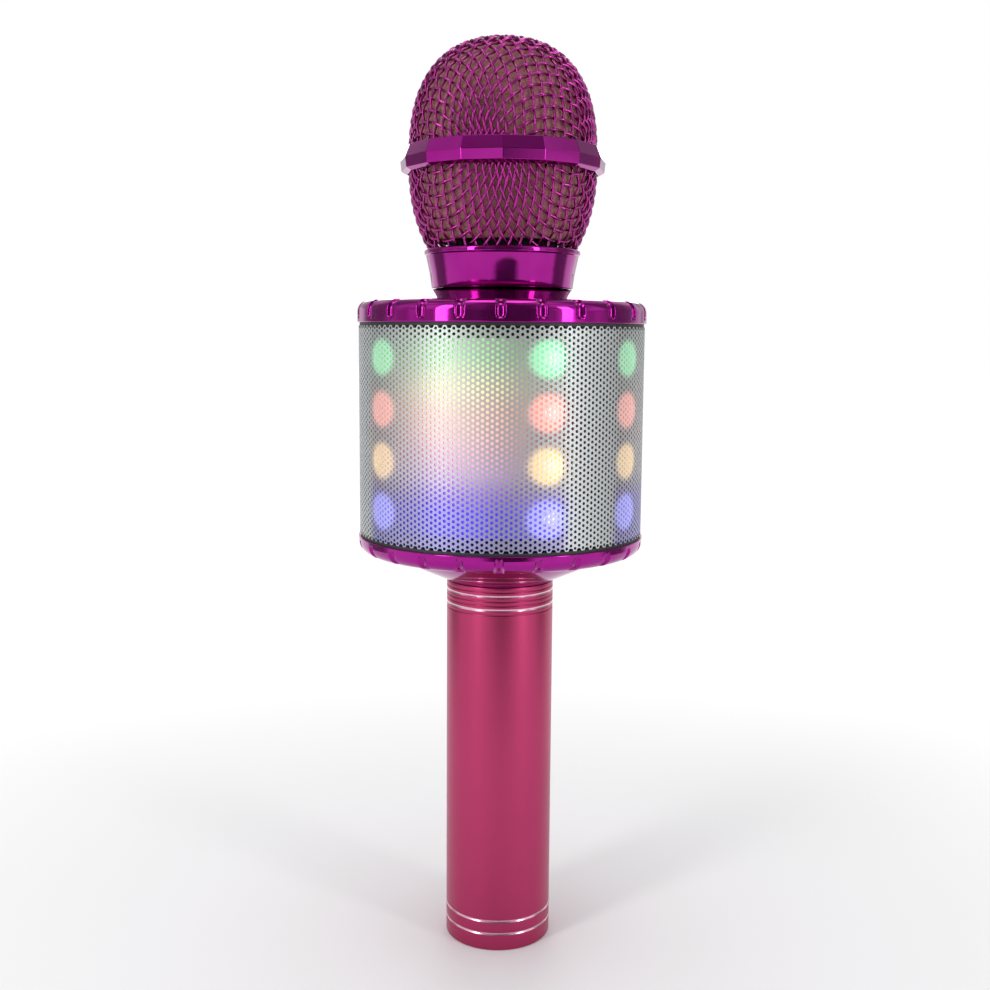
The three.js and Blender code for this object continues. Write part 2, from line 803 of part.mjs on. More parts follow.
// The woven lower half of the head, as a shell of the wires' thickness.
function lowerBasket() {
  const top = bandMiddle - clearance;
  const rise = bandBase - collarTop;
  const shares = [0.05, 0.25, 0.5, 0.75, 1];
  const outer = shares.map((s) => at(basketOuter(s), collarTop + rise * s));
  const inner = [...shares].reverse().map((s) =>
    at(basketOuter(s) - headWireShell, collarTop + rise * s),
  );
  return turned([
    at(basketFoot - headWireShell, collarTop - collarLip + clearance),
    at(basketFoot, collarTop - collarLip + clearance),
    at(basketFoot, collarTop),
    ...outer,
    at(headRadius, top),
    at(headRadius - headWireShell, top),
    ...inner,
  ]);
}

function headBand() {
  const ridge = headRadius + bandProud;
  return turned([
    at(bandBore, bandBase),
    at(ridge - 1, bandBase),
    at(ridge - 0.35, bandBase + 0.6),
    at(ridge, bandMiddle),
    at(bandBore + bandWall, bandTop),
    at(bandBore, bandTop),
  ]);
}

// Outline of the dome at an inset from its outer surface, from the band up to the axis.
function domeOutline(inset) {
  const bottom = bandMiddle + clearance;
  const radius = headRadius - inset;
  const height = headTop - inset - bottom;
  const upright = Array.from({ length: domeSteps }, (_, i) => {
    const angle = (i / domeSteps) * quarter;
    const across = Math.pow(Math.cos(angle), 2 / domePower);
    return at(radius * across, bottom + height * Math.pow(Math.sin(angle), 2 / domePower));
  });
  return [...upright, at(0, bottom + height)];
}

// A dome of even thickness, open at the bottom.
function dome(inset, thickness) {
  const outer = domeOutline(inset);
  const inner = domeOutline(inset + thickness).reverse();
  return new THREE.LatheGeometry([...inner, ...outer], roundSides).rotateX(quarter);
}

// The foam sleeve inside the lower basket.
function basketFoam() {
  const shares = [0.1, 0.5, 1];
  const inset = headWireShell + clearance;
  const rise = bandBase - collarTop;
  const outer = shares.map((s) => at(basketOuter(s) - inset, collarTop + rise * s));
  const inner = shares.map((s) => at(basketOuter(s) - inset - foamThickness, collarTop + rise * s));
  const top = bandMiddle - clearance;
  return turned([
    ...outer,
    at(headRadius - inset, top),
    at(headRadius - inset - foamThickness, top),
    ...inner.reverse(),
  ], hiddenSides);
}

// ---------------------------------------------------------------- capsule
const mountRadius = capsuleRadius + clearance + mountWall;
const holderBore = mountRadius + clearance;
const holderBase = threadSpigotTop + clearance;

function capsuleHolder() {
  const plug = threadSpigotBore - clearance;
  return turned([
    at(holderBore, holderBase - holderPlug),
    at(plug, holderBase - holderPlug),
    at(plug, holderBase),
    at(holderRadius, holderBase),
    at(holderRadius, holderBase + 1.7),
    at(holderRadius - 2.2, holderBase + holderHeight - 1.5),
    at(holderBore + 1, holderBase + holderHeight),
    at(holderBore, holderBase + holderHeight),
  ]);
}

function capsuleMount() {
  const inner = capsuleRadius + clearance;
  const low = holderBase - holderPlug + clearance;
  const high = holderBase + holderHeight + 1.5;
  const sleeve = [at(inner, low), at(mountRadius, low), at(mountRadius, high), at(inner, high)];
  return turned(sleeve, hiddenSides);
}

function micCapsule() {
  const low = holderBase - holderPlug;
  const high = low + capsuleLength;
  return turned([
    at(0, low),
    at(capsuleRadius - 0.8, low),
    at(capsuleRadius, low + 0.8),
    at(capsuleRadius, high - 1.2),
    at(capsuleRadius - 1.2, high),
    at(0, high),
  ], hiddenSides);
}

// ---------------------------------------------------------------- leads
const boardTouch = boardBack - leadRadius;
const leadRoutes = {
  battery_lead: [
    [4, 0, cellTop + clearance * 2 + boardThickness],
    [4, 0, (cellTop + handleLength) / 2],
    [4, 1, handleLength],
    [5, 3, barrelBase],
    [7, 9, (frameBase + frameWall + magnetBase) / 2],
    [8, (boardTouch + magnetRadius) / 2, (frameBase + frameWall + magnetBase) / 2 + 0.6],
    [8, boardTouch, portLevel - 1],
  ],
  speaker_lead: [
    [-basketBase - 0.5, basketBase * 0.9, speakerBase + 4.2],
    [-basketBase + 1, basketBase + 3.5, speakerBase + 3.2],
    [-basketBase + 3, boardTouch - 4, speakerBase + 3.8],
    [-basketBase + 5, boardTouch, speakerBase + 5],
  ],
  microphone_lead: [
    [0, 0, holderBase - holderPlug - leadRadius],
    [0, 3, neckTop],
    [0, threadSpigotBore - 5, upperCeiling],
    [0, (threadSpigotBore + boardTouch) / 2, frameTop - 6],
    [0, boardTouch, faceHigh - 4],
  ],
};

// ---------------------------------------------------------------- assembly
const microphone = new THREE.Group();

function add(name, geometry, material) {
  const mesh = new THREE.Mesh(geometry, material);
  mesh.name = name;
  microphone.add(mesh);
}

add("handle_tube", handleTube(), anodisedPink);
add("handle_end_cap", handleEndCap(), blackPlastic);
add("battery_cell", batteryCell(), blueSleeve);
add("battery_pad_lower", batteryPad(cellBase + padInset), greyFoam);
add("battery_pad_upper", batteryPad(cellTop - padInset - padHeight), greyFoam);
add("battery_board", batteryBoard(), greenBoard);

add("lower_cap", lowerCap(), platedMagenta);
add("upper_cap", upperCap(), platedMagenta);
capScrewSpots.forEach(([x, y], i) => add(`cap_screw_${i + 1}`, capScrew(x, y), zincSteel));

add("speaker_grille", speakerGrille(), silverSteel);
add("inner_frame", innerFrame(), blackPlastic);
add("light_reflector", reflector(), whitePlastic);
add("center_lens", centerLens(), frostedPlastic);
add("led_strip_center", ledStrip(centerStripBack, centerStripWidth), whitePlastic);
for (const [place, angle] of Object.entries(ledAngles)) {
  const strip = ledStrip(reflectorRadius + clearance, ledStripWidth, angle);
  add(`led_strip_${place}`, strip, whitePlastic);
}

add("speaker_baffle", speakerBaffle(), blackPlastic);
add("speaker_basket", speakerBasket(), zincSteel);
add("speaker_magnet", speakerMagnet(), greyFerrite);
add("speaker_cone", speakerCone(), blackPaper);
add("speaker_surround", speakerSurround(), blackRubber);

add("panel_bezel", panelBezel(), platedMagenta);
add("panel_face", panelFace(), glossBlack);
add("control_board", controlBoard(), greenBoard);
add("board_screw_left", boardScrew(postX), zincSteel);
add("board_screw_right", boardScrew(-postX), zincSteel);
for (const [use, button] of Object.entries(buttons)) {
  add(`${use}_button`, panelButton(button), silverSteel);
  add(`${use}_switch`, tactSwitch(button), blackPlastic);
}
for (const [use, x] of Object.entries(sliders)) {
  add(`${use}_knob`, sliderKnob(x), silverSteel);
  add(`${use}_slide_pot`, slidePot(x), zincSteel);
}
add("charging_socket", boxSocket(usbSocket), zincSteel);
add("card_socket", boxSocket(cardSocket), zincSteel);
add("audio_socket", audioJack(), blackPlastic);

add("head_thread_ring", threadRing(), blackPlastic);
add("head_collar", headCollar(), platedMagenta);
add("lower_basket", lowerBasket(), platedMagenta);
add("head_band", headBand(), platedMagenta);
add("dome_grille", dome(0, headWireShell), platedMagenta);
add("dome_foam", dome(headWireShell + clearance, foamThickness), roseFoam);
add("basket_foam", basketFoam(), roseFoam);
add("capsule_holder", capsuleHolder(), blackPlastic);
add("capsule_mount", capsuleMount(), blackRubber);
add("microphone_capsule", micCapsule(), zincSteel);
for (const [name, route] of Object.entries(leadRoutes)) add(name, lead(route), redLead);

export default microphone;
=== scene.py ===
"""Looks of a hand-held karaoke microphone: woven head, lit loudspeaker barrel, anodised handle."""
import math

import bmesh
import bpy
import numpy as np
from bpy.props import FloatProperty, FloatVectorProperty, IntProperty, PointerProperty
from mathutils import Matrix, Vector, noise


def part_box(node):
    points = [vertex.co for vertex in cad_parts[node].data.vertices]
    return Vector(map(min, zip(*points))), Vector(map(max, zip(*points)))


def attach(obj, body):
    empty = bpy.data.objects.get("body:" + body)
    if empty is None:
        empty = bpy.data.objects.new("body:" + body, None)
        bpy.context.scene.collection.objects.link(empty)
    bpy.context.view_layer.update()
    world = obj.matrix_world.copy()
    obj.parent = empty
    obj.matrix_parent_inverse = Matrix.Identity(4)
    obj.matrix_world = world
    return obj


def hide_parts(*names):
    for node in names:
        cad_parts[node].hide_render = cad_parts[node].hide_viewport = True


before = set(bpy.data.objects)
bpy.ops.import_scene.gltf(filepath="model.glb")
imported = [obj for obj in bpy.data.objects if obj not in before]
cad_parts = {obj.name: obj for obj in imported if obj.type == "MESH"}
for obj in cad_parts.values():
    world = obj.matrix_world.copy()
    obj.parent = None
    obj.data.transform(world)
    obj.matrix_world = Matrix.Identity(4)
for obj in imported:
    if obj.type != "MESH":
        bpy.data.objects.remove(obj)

bl_info = {
    "name": "Karaoke Microphone",
    "version": (1, 0, 0),
    "blender": (4, 5, 0),
    "location": "3D View > Sidebar > Microphone",
    "description": "Builds the finished surfaces of a karaoke microphone around its frame",
    "category": "Add Mesh",
}

MM = 0.001
FINE = 192  # columns round a large turned piece
COARSE = 96  # columns round a small turned piece


def low(node):
    """The lowest corner of a node of the frame."""
    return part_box(node)[0]


def high(node):
    """The highest corner of a node of the frame."""
    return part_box(node)[1]


# ------------------------------------------------------------------ what a user would change
class MicrophoneSizes(bpy.types.PropertyGroup):
    """Sizes of the fine detail."""

    wire_diameter: FloatProperty(
        name="Wire diameter", description="Of the woven head", default=0.70 * MM, unit="LENGTH")
    wire_pitch: FloatProperty(
        name="Wire pitch", description="From one crossing to the next", default=2.92 * MM, unit="LENGTH")
    dome_turn: FloatProperty(
        name="Dome weave turn", description="Of the upper weave about the axis",
        default=math.radians(49.5), subtype="ANGLE")
    basket_turn: FloatProperty(
        name="Basket weave turn", description="Of the lower weave about the axis",
        default=math.radians(62.5), subtype="ANGLE")
    hole_diameter: FloatProperty(
        name="Hole diameter", description="Of the perforated grille", default=0.86 * MM, unit="LENGTH")
    hole_rows: IntProperty(
        name="Hole rows", description="Holes in the grille's height", default=40)
    notch_count: IntProperty(
        name="Notches", description="Round each cap", default=24)
    notch_turn: FloatProperty(
        name="Notch turn", description="Of the first notch from the middle of the light window",
        default=math.radians(2.1), subtype="ANGLE")
    notch_width: FloatProperty(
        name="Notch width", description="Across a cap's notch", default=2.4 * MM, unit="LENGTH")
    notch_depth: FloatProperty(
        name="Notch depth", description="Of a cap's notch", default=0.85 * MM, unit="LENGTH")
    band_facets: IntProperty(
        name="Band facets", description="Flats round the head's band", default=16)


def colour(name, description, default):
    """A colour property."""
    return FloatVectorProperty(
        name=name, description=description, default=default, size=3, subtype="COLOR", min=0, max=1)


class MicrophoneColours(bpy.types.PropertyGroup):
    """Colours of the finishes."""

    plating: colour("Plating", "Mirror plating of caps, collar, band and wires", (0.36, 0.006, 0.255))
    anodising: colour("Anodising", "Satin finish of the handle", (0.47, 0.052, 0.145))
    bare_ring: colour("Bare ring", "Cut rings of the handle", (0.86, 0.55, 0.66))
    grille: colour("Grille", "Perforated sheet", (0.60, 0.62, 0.63))
    foam: colour("Foam", "Lining of the head", (0.44, 0.165, 0.185))
    green: colour("Green light", "Top row of lights", (0.10, 0.85, 0.30))
    red: colour("Red light", "Second row of lights", (1.0, 0.22, 0.13))
    amber: colour("Amber light", "Third row of lights", (1.0, 0.62, 0.16))
    blue: colour("Blue light", "Bottom row of lights", (0.05, 0.03, 1.0))


# ------------------------------------------------------------------ node trees as expressions
class Value:
    """An output socket. Arithmetic on it adds the Math nodes that work it out."""

    def __init__(self, build, socket):
        self.build = build
        self.socket = socket

    def __add__(self, other):
        return self.build.math("ADD", self, other)

    def __radd__(self, other):
        return self.build.math("ADD", other, self)

    def __sub__(self, other):
        return self.build.math("SUBTRACT", self, other)

    def __rsub__(self, other):
        return self.build.math("SUBTRACT", other, self)

    def __mul__(self, other):
        return self.build.math("MULTIPLY", self, other)

    def __rmul__(self, other):
        return self.build.math("MULTIPLY", other, self)

    def __truediv__(self, other):
        return self.build.math("DIVIDE", self, other)

    def __pow__(self, other):
        return self.build.math("POWER", self, other)

    def __neg__(self):
        return self.build.math("MULTIPLY", self, -1.0)


class Build:
    """Adds nodes to a shader or geometry tree."""

    def __init__(self, tree):
        self.tree = tree

    def node(self, kind, settings=None, values=None, output=0):
        """A node of a type, with its settings made first and then its sockets' values or links."""
        made = self.tree.nodes.new(kind)
        for key, setting in (settings or {}).items():
            if key == "stops":
                self.fill_ramp(made.color_ramp, setting)
            else:
                setattr(made, key, setting)
        for key, value in (values or {}).items():
            if isinstance(value, Value):
                self.tree.links.new(value.socket, made.inputs[key])
            else:
                made.inputs[key].default_value = value
        return Value(self, made.outputs[output]) if made.outputs else None

    def also(self, value, output):
        """Another output of the node that gave a value."""
        return Value(self, value.socket.node.outputs[output])

    def fill_ramp(self, ramp, stops):
        for place, tint in stops[2:]:
            ramp.elements.new(place)
        for element, (place, tint) in zip(ramp.elements, stops):
            element.position = place
            element.color = (*tint, 1)

    def math(self, operation, *operands):
        values = dict(enumerate(operands))
        return self.node("ShaderNodeMath", {"operation": operation}, values)

    def vector(self, operation, *operands, output=0):
        settings = {"operation": operation}
        return self.node("ShaderNodeVectorMath", settings, dict(enumerate(operands)), output)

    def parts(self, vector):
        """The X, Y and Z of a vector."""
        x = self.node("ShaderNodeSeparateXYZ", None, {0: vector})
        return x, self.also(x, 1), self.also(x, 2)

    def joined(self, x, y, z):
        return self.node("ShaderNodeCombineXYZ", None, {0: x, 1: y, 2: z})

    def smooth(self, value, zero_at, one_at):
        """0 at one value, 1 at another, with a soft step between."""
        values = {"Value": value, "From Min": zero_at, "From Max": one_at}
        return self.node("ShaderNodeMapRange", {"interpolation_type": "SMOOTHSTEP"}, values)

    def between(self, value, low_end, high_end):
        """A number spread over 0 to 1, given a new range."""
        return value * (high_end - low_end) + low_end

    def mix(self, factor, first, second, blend="MIX"):
        """Two colours mixed."""
        tints = [t if isinstance(t, Value) else (*t, 1) for t in (first, second)]
        settings = {"data_type": "RGBA", "blend_type": blend}
        return self.node("ShaderNodeMix", settings, {0: factor, 6: tints[0], 7: tints[1]}, 2)

    def noise(self, where, scale, detail=3.0, output=0):
        return self.node(
            "ShaderNodeTexNoise", None, {"Vector": where, "Scale": scale, "Detail": detail}, output)

    def bump(self, height, distance, strength=1.0):
        values = {"Height": height, "Distance": distance, "Strength": strength}
        return self.node("ShaderNodeBump", None, values)


def finish(name, make, **constants):
    """A material. make(build, place) gives the values or links of the surface shader's sockets."""
    made = bpy.data.materials.new(name)
    made.use_nodes = True
    made.node_tree.nodes.clear()
    build = Build(made.node_tree)
    place = build.node("ShaderNodeTexCoord", output=3)
    sockets = {**constants, **make(build, place)}
    tinted = {k: (*v, 1) if k.endswith("Color") and not isinstance(v, Value) else v
              for k, v in sockets.items()}
    surface = build.node("ShaderNodeBsdfPrincipled", None, tinted)
    build.node("ShaderNodeOutputMaterial", None, {"Surface": surface})
    return made


# ------------------------------------------------------------------ finishes
def colours():
    return bpy.context.scene.microphone_colours


def sizes():
    return bpy.context.scene.microphone_sizes


def plating(build, place):
    """Mirror plating with faint handling marks and a little unevenness under it."""
    smears = build.smooth(build.noise(place, 70.0, 5.0), 0.35, 0.75)
    specks = build.smooth(build.noise(place, 900.0, 2.0), 0.62, 0.75)
    shade = build.mix(smears * 0.3, tuple(colours().plating), (0.26, 0.003, 0.19))
    wave = build.noise(place, 55.0, 1.0)
    return {
        "Base Color": shade,
        "Roughness": build.between(smears, 0.045, 0.13) + specks * 0.06,
        "Coat Weight": build.between(smears, 0.30, 0.15),
        "Normal": build.bump(wave, 0.25 * MM, 0.35),
    }


def wire_plating(build, place):
    """Plating on drawn wire, in lighter and darker patches, with fine draw marks."""
    marks = build.noise(place, 1400.0, 3.0)
    patches = build.smooth(build.noise(place, 160.0, 2.0), 0.35, 0.7)
    shade = build.mix(patches * 0.5, (0.40, 0.020, 0.25), (0.20, 0.006, 0.12))
    return {
        "Base Color": shade,
        "Roughness": build.between(marks, 0.10, 0.24),
        "Coat Weight": build.between(patches, 0.35, 0.6),
        "Normal": build.bump(marks, 0.02 * MM, 0.5),
    }


HANDLE_TOP = high("handle_tube").z
BRIGHT_RINGS = (4.9 * MM, 8.6 * MM, HANDLE_TOP - 2.6 * MM, HANDLE_TOP - 6.3 * MM)
DULL_GROOVES = tuple(HANDLE_TOP - d * MM for d in (1.3, 3.85, 5.05, 7.6))


def anodising(build, place):
    """Satin anodised tube with turning marks round it, bare metal in its cut rings."""
    x, y, z = build.parts(place)
    marks = build.noise(build.joined(x * 40.0, y * 40.0, z * 5200.0), 1.0, 4.0)
    blush = build.noise(place, 26.0, 3.0)
    ring = 0.0
    for level in BRIGHT_RINGS:
        ring = build.smooth(build.math("ABSOLUTE", z - level), 0.40 * MM, 0.30 * MM) + ring
    pink = build.mix(build.smooth(blush, 0.3, 0.7) * 0.35, tuple(colours().anodising),
                     (0.38, 0.038, 0.115))
    return {
        "Base Color": build.mix(ring, pink, tuple(colours().bare_ring)),
        "Roughness": build.between(marks, 0.28, 0.42) - ring * 0.16,
        "Normal": build.bump(marks, 0.012 * MM, 0.5),
    }


# The lights: rows up the barrel, columns round it.
GRILLE_LOW, GRILLE_HIGH = low("speaker_grille").z, high("speaker_grille").z
LIGHT_ROWS = 4
ROW_PITCH = 13.3 * MM
FIRST_ROW = GRILLE_LOW + 8.3 * MM
LIGHT_RADIUS = 36 * MM
BACK_COLUMN, SIDE_COLUMN = math.radians(38), math.radians(80)
WINDOW_EDGE, SIDE_EDGE = math.radians(44), math.radians(66)


def glow(build, place, back_column, side_column):
    """The light behind the grille: its haze, the lamps' colours, and where each is strong."""
    x, y, z = build.parts(place)
    turn = build.math("ABSOLUTE", build.math("ARCTAN2", x, -y))
    level = (z - GRILLE_LOW) / (GRILLE_HIGH - GRILLE_LOW)
    haze = build.node("ShaderNodeValToRGB", {"stops": [
        (0.0, (0.03, 0.01, 0.62)), (0.17, (0.05, 0.015, 0.75)), (0.27, (0.22, 0.08, 0.66)),
        (0.36, (0.58, 0.28, 0.58)), (0.50, (0.92, 0.46, 0.48)), (0.62, (1.0, 0.56, 0.42)),
        (0.72, (0.90, 0.78, 0.42)), (0.86, (0.34, 0.72, 0.30)), (1.0, (0.25, 0.50, 0.25)),
    ]}, {0: level})
    middle = build.smooth(turn, 0.62, 0.08)
    low_zone = build.smooth(level, 0.34, 0.20)
    drift = build.between(build.noise(place, 60.0, 2.0), 0.8, 1.2)
    strength = build.math("MAXIMUM", middle * 0.95 + 0.16, low_zone * 0.75) * drift
    spread = build.mix(1.0, haze, build.joined(strength, strength, strength), "MULTIPLY")
    row = (z - FIRST_ROW) / ROW_PITCH
    from_row = (row - build.math("ROUND", row)) * ROW_PITCH
    nearest = build.math("MINIMUM", build.math("ABSOLUTE", turn - back_column),
                         build.math("ABSOLUTE", turn - side_column)) * LIGHT_RADIUS
    away = (nearest * nearest + from_row * from_row) ** 0.5
    tones = [colours().blue, colours().amber, colours().red, colours().green]
    stops = [(i / LIGHT_ROWS, tuple(t)) for i, t in enumerate(tones)]
    lamp = build.node("ShaderNodeValToRGB", {"stops": stops}, {0: (row + 0.5) / LIGHT_ROWS})
    lamp.socket.node.color_ramp.interpolation = "CONSTANT"
    return {"spread": spread, "lamp": lamp, "turn": turn, "low_zone": low_zone,
            "disc": build.smooth(away, 6.2 * MM, 3.6 * MM), "core": build.smooth(away, 2.8 * MM, 0.8 * MM)}


def lit_white(build, place):
    """White plastic with the coloured light on it."""
    light = glow(build, place, BACK_COLUMN, SIDE_COLUMN)
    lamp = build.mix(light["core"] * 0.85, light["lamp"], (1.0, 0.97, 0.85))
    return {
        "Base Color": build.mix(build.noise(place, 300.0), (0.42, 0.42, 0.42), (0.36, 0.36, 0.37)),
        "Roughness": build.between(build.noise(place, 500.0), 0.45, 0.6),
        "Emission Color": build.mix(light["disc"], light["spread"], lamp),
    }


def grille_silver(build, place):
    """Silver perforated sheet, tinted where the light spills through its holes."""
    light = glow(build, place, math.radians(34.5), math.radians(74.5))
    grain = build.noise(place, 1600.0, 3.0)
    side = build.smooth(light["turn"], SIDE_EDGE - 0.03, SIDE_EDGE + 0.06)
    window = build.math("MAXIMUM", side, build.smooth(
        light["turn"], WINDOW_EDGE + 0.02, WINDOW_EDGE - 0.08))
    pastel = build.mix(0.42, light["lamp"], (1, 1, 1))
    hue = build.mix(light["disc"], build.mix(0.35, light["spread"], (0.62, 0.56, 0.60)), pastel)
    hold = build.math("MAXIMUM", light["disc"] * 0.82, light["low_zone"] * 0.42 + 0.34) * window
    silver = build.mix(build.smooth(grain, 0.3, 0.7) * 0.4, tuple(colours().grille), (0.50, 0.52, 0.53))
    return {
        "Base Color": build.mix(hold, silver, build.mix(0.25, hue, (0.45, 0.45, 0.46))),
        "Roughness": build.between(grain, 0.36, 0.52),
        "Emission Color": build.mix(build.math("MAXIMUM", light["disc"] * 0.26, 0.05) * window,
                                    (0, 0, 0), hue),
        "Normal": build.bump(grain, 0.01 * MM, 0.4),
    }


def foam(build, place):
    """Open-cell foam, darker in the hollow of each pore: painted shade."""
    cells = build.node("ShaderNodeTexVoronoi", None, {"Vector": place, "Scale": 1500.0})
    pores_and_shade = build.smooth(cells, 0.15, 0.6)
    wide = build.noise(place, 120.0, 3.0)
    # The colour darkens where the pores sink in, the same places the bump lowers: painted shade in the hollows.
    shade = build.mix(pores_and_shade, tuple(c * 0.62 for c in colours().foam), tuple(colours().foam))
    return {
        "Base Color": build.mix(wide * 0.3, shade, (0.50, 0.22, 0.23)),
        "Roughness": build.between(pores_and_shade, 0.9, 1.0),
        "Normal": build.bump(pores_and_shade, 0.2 * MM, 0.8),
    }


def grained(first, second, scale, rough, depth, metallic=0.0, coat=0.0):
    """A maker of finishes with a fine grain: two tones, a roughness range and a grain depth."""
    def make(build, place):
        grain = build.noise(place, scale, 4.0)
        wear = build.smooth(build.noise(place, 90.0, 4.0), 0.45, 0.75)
        return {
            "Base Color": build.mix(build.smooth(grain, 0.3, 0.7), first, second),
            "Roughness": build.between(grain, *rough) + wear * 0.05,
            "Metallic": metallic,
            "Coat Weight": coat,
            "Normal": build.bump(grain, depth, 0.6),
        }
    return make


def make_finishes():
    """Every finish, by the name that the pieces use."""
    made = {
        "plating": finish("plating", plating, Metallic=1.0),
        "wire": finish("wire_plating", wire_plating, Metallic=1.0),
        "anodising": finish("anodising", anodising, Metallic=1.0),
        "grille": finish("grille_silver", grille_silver, **{"Metallic": 0.75, "Emission Strength": 1.0}),
        "lit": finish("lit_white", lit_white, **{"Emission Strength": 1.15}),
        "foam": finish("foam", foam),
    }
    plain = {
        "black": grained((0.012, 0.012, 0.014), (0.022, 0.022, 0.025), 1800.0, (0.42, 0.58), 0.02 * MM),
        "gloss": grained((0.006, 0.006, 0.008), (0.010, 0.010, 0.012), 400.0, (0.05, 0.09), 0.002 * MM,
                         coat=0.6),
        "silver": grained((0.62, 0.62, 0.64), (0.70, 0.70, 0.72), 2200.0, (0.28, 0.38), 0.006 * MM, 0.85),
        "mark": grained((0.70, 0.70, 0.70), (0.82, 0.82, 0.82), 900.0, (0.4, 0.5), 0.004 * MM),
        "dark_mark": grained((0.03, 0.03, 0.035), (0.05, 0.05, 0.055), 900.0, (0.4, 0.5), 0.004 * MM),
        "board": grained((0.01, 0.10, 0.045), (0.015, 0.15, 0.07), 700.0, (0.3, 0.45), 0.01 * MM),
        "zinc": grained((0.55, 0.56, 0.58), (0.68, 0.69, 0.70), 1100.0, (0.22, 0.36), 0.008 * MM, 1.0),
        "ferrite": grained((0.04, 0.04, 0.045), (0.07, 0.07, 0.075), 1500.0, (0.55, 0.7), 0.03 * MM),
        "paper": grained((0.010, 0.010, 0.011), (0.03, 0.03, 0.032), 1300.0, (0.7, 0.9), 0.05 * MM),
        "rubber": grained((0.012, 0.012, 0.012), (0.02, 0.02, 0.02), 1500.0, (0.6, 0.8), 0.03 * MM),
        "sleeve": grained((0.02, 0.09, 0.36), (0.03, 0.12, 0.45), 260.0, (0.25, 0.4), 0.01 * MM),
        "pad": grained((0.09, 0.09, 0.10), (0.15, 0.15, 0.16), 1400.0, (0.9, 1.0), 0.15 * MM),
        "lead": grained((0.36, 0.015, 0.015), (0.45, 0.02, 0.02), 500.0, (0.35, 0.5), 0.01 * MM),
    }
    made.update({name: finish(name, make) for name, make in plain.items()})
    return made


FINISHES = {}


# ------------------------------------------------------------------ mesh tools
def new_piece(name, points, faces, edges=()):
    """An object at the origin with its place in its mesh, its faces pointing outwards."""
    mesh = bpy.data.meshes.new(name)
    mesh.from_pydata([tuple(p) for p in points], edges, faces)
    made = bpy.data.objects.new(name, mesh)
    bpy.context.scene.collection.objects.link(made)
    if faces:
        face_outwards(mesh)
    return made


def face_outwards(mesh):
    """Turns a closed mesh's faces round if they point inwards."""
    work = bmesh.new()
    work.from_mesh(mesh)
    if work.calc_volume(signed=True) < 0:
        bmesh.ops.reverse_faces(work, faces=work.faces)
    work.to_mesh(mesh)
    work.free()


def smooth(made, crease=32.0):
    """Smooth shading, with a hard edge where faces meet at more than the crease angle."""
    made.data.polygons.foreach_set("use_smooth", [True] * len(made.data.polygons))
    made.data.set_sharp_from_angle(angle=math.radians(crease))
    return made


def settle(made, body, finish_name, nodes=()):
    """Gives a piece its finish, its body and the nodes it stands for."""
    if finish_name and not made.data.materials:
        made.data.materials.append(FINISHES[finish_name])
    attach(made, body)
    if nodes:
        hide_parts(*nodes)
    return made


def freeze(made):
    """Replaces an object's mesh by what its modifiers make of it, and removes them."""
    bpy.context.view_layer.update()
    graph = bpy.context.evaluated_depsgraph_get()
    result = bpy.data.meshes.new_from_object(made.evaluated_get(graph))
    made.modifiers.clear()
    made.data = result
    return made


def rounded(corners, steps=4):
    """A closed outline from corners of (radius, height, rounding), each rounding a true arc."""
    places = [Vector(corner[:2]) for corner in corners]
    count = len(places)
    turns = [(places[i - 1] - p).angle(places[(i + 1) % count] - p) for i, p in enumerate(places)]
    reaches = [corner[2] / math.tan(turn / 2) for corner, turn in zip(corners, turns)]
    for i in range(count):
        length = (places[i] - places[i - 1]).length
        wanted = reaches[i] + reaches[i - 1]
        if wanted > 0.96 * length:
            reaches[i] *= 0.96 * length / wanted
            reaches[i - 1] *= 0.96 * length / wanted
    outline = []
    for i, (corner, turn, reach) in enumerate(zip(places, turns, reaches)):
        if not reach:
            outline.append(corner)
            continue
        start = corner + (places[i - 1] - corner).normalized() * reach
        end = corner + (places[(i + 1) % count] - corner).normalized() * reach
        weight = math.sin(turn / 2)
        for k in range(steps + 1):
            t = k / steps
            shares = ((1 - t) ** 2, 2 * weight * t * (1 - t), t * t)
            outline.append((start * shares[0] + corner * shares[1] + end * shares[2]) / sum(shares))
    return [(p.x, p.y) for p in outline]


def even(count, start=0.0):
    """Angles spread evenly round a circle."""
    return [start + 2 * math.pi * i / count for i in range(count)]


def turned(name, outline, angles):
    """A solid of revolution about Z from a closed outline of (radius, height)."""
    count = len(angles)
    points, rings = [], []
    for r, z in outline:
        if r < 1e-7:
            rings.append([len(points)] * count)
            points.append((0, 0, z))
            continue
        rings.append(list(range(len(points), len(points) + count)))
        points.extend((r * math.cos(a), r * math.sin(a), z) for a in angles)
    faces = []
    for k, ring in enumerate(rings):
        following = rings[(k + 1) % len(rings)]
        if ring[0] == ring[1] and following[0] == following[1]:
            continue
        for j in range(count):
            n = (j + 1) % count
            corners = [ring[j], ring[n], following[n], following[j]]
            faces.append(list(dict.fromkeys(corners)))
    return new_piece(name, points, faces)


def along_y(made, x, y, z):
    """Turns a piece made about Z to face +Y, with its own zero at a point."""
    made.data.transform(Matrix.Translation((x, y, z)) @ Matrix.Rotation(-math.pi / 2, 4, "X"))
    return made


# ------------------------------------------------------------------ geometry trees
def new_tree(name, inputs):
    """A geometry tree with named inputs, its builder and its group input node."""
    tree = bpy.data.node_groups.new(name, "GeometryNodeTree")
    tree.interface.new_socket("Geometry", in_out="INPUT", socket_type="NodeSocketGeometry")
    for label, kind in inputs:
        tree.interface.new_socket(label, in_out="INPUT", socket_type=f"NodeSocket{kind}")
    tree.interface.new_socket("Geometry", in_out="OUTPUT", socket_type="NodeSocketGeometry")
    build = Build(tree)
    source = build.node("NodeGroupInput")
    given = {"Geometry": source}
    for i, (label, kind) in enumerate(inputs):
        given[label] = build.also(source, i + 1)
    return tree, build, given


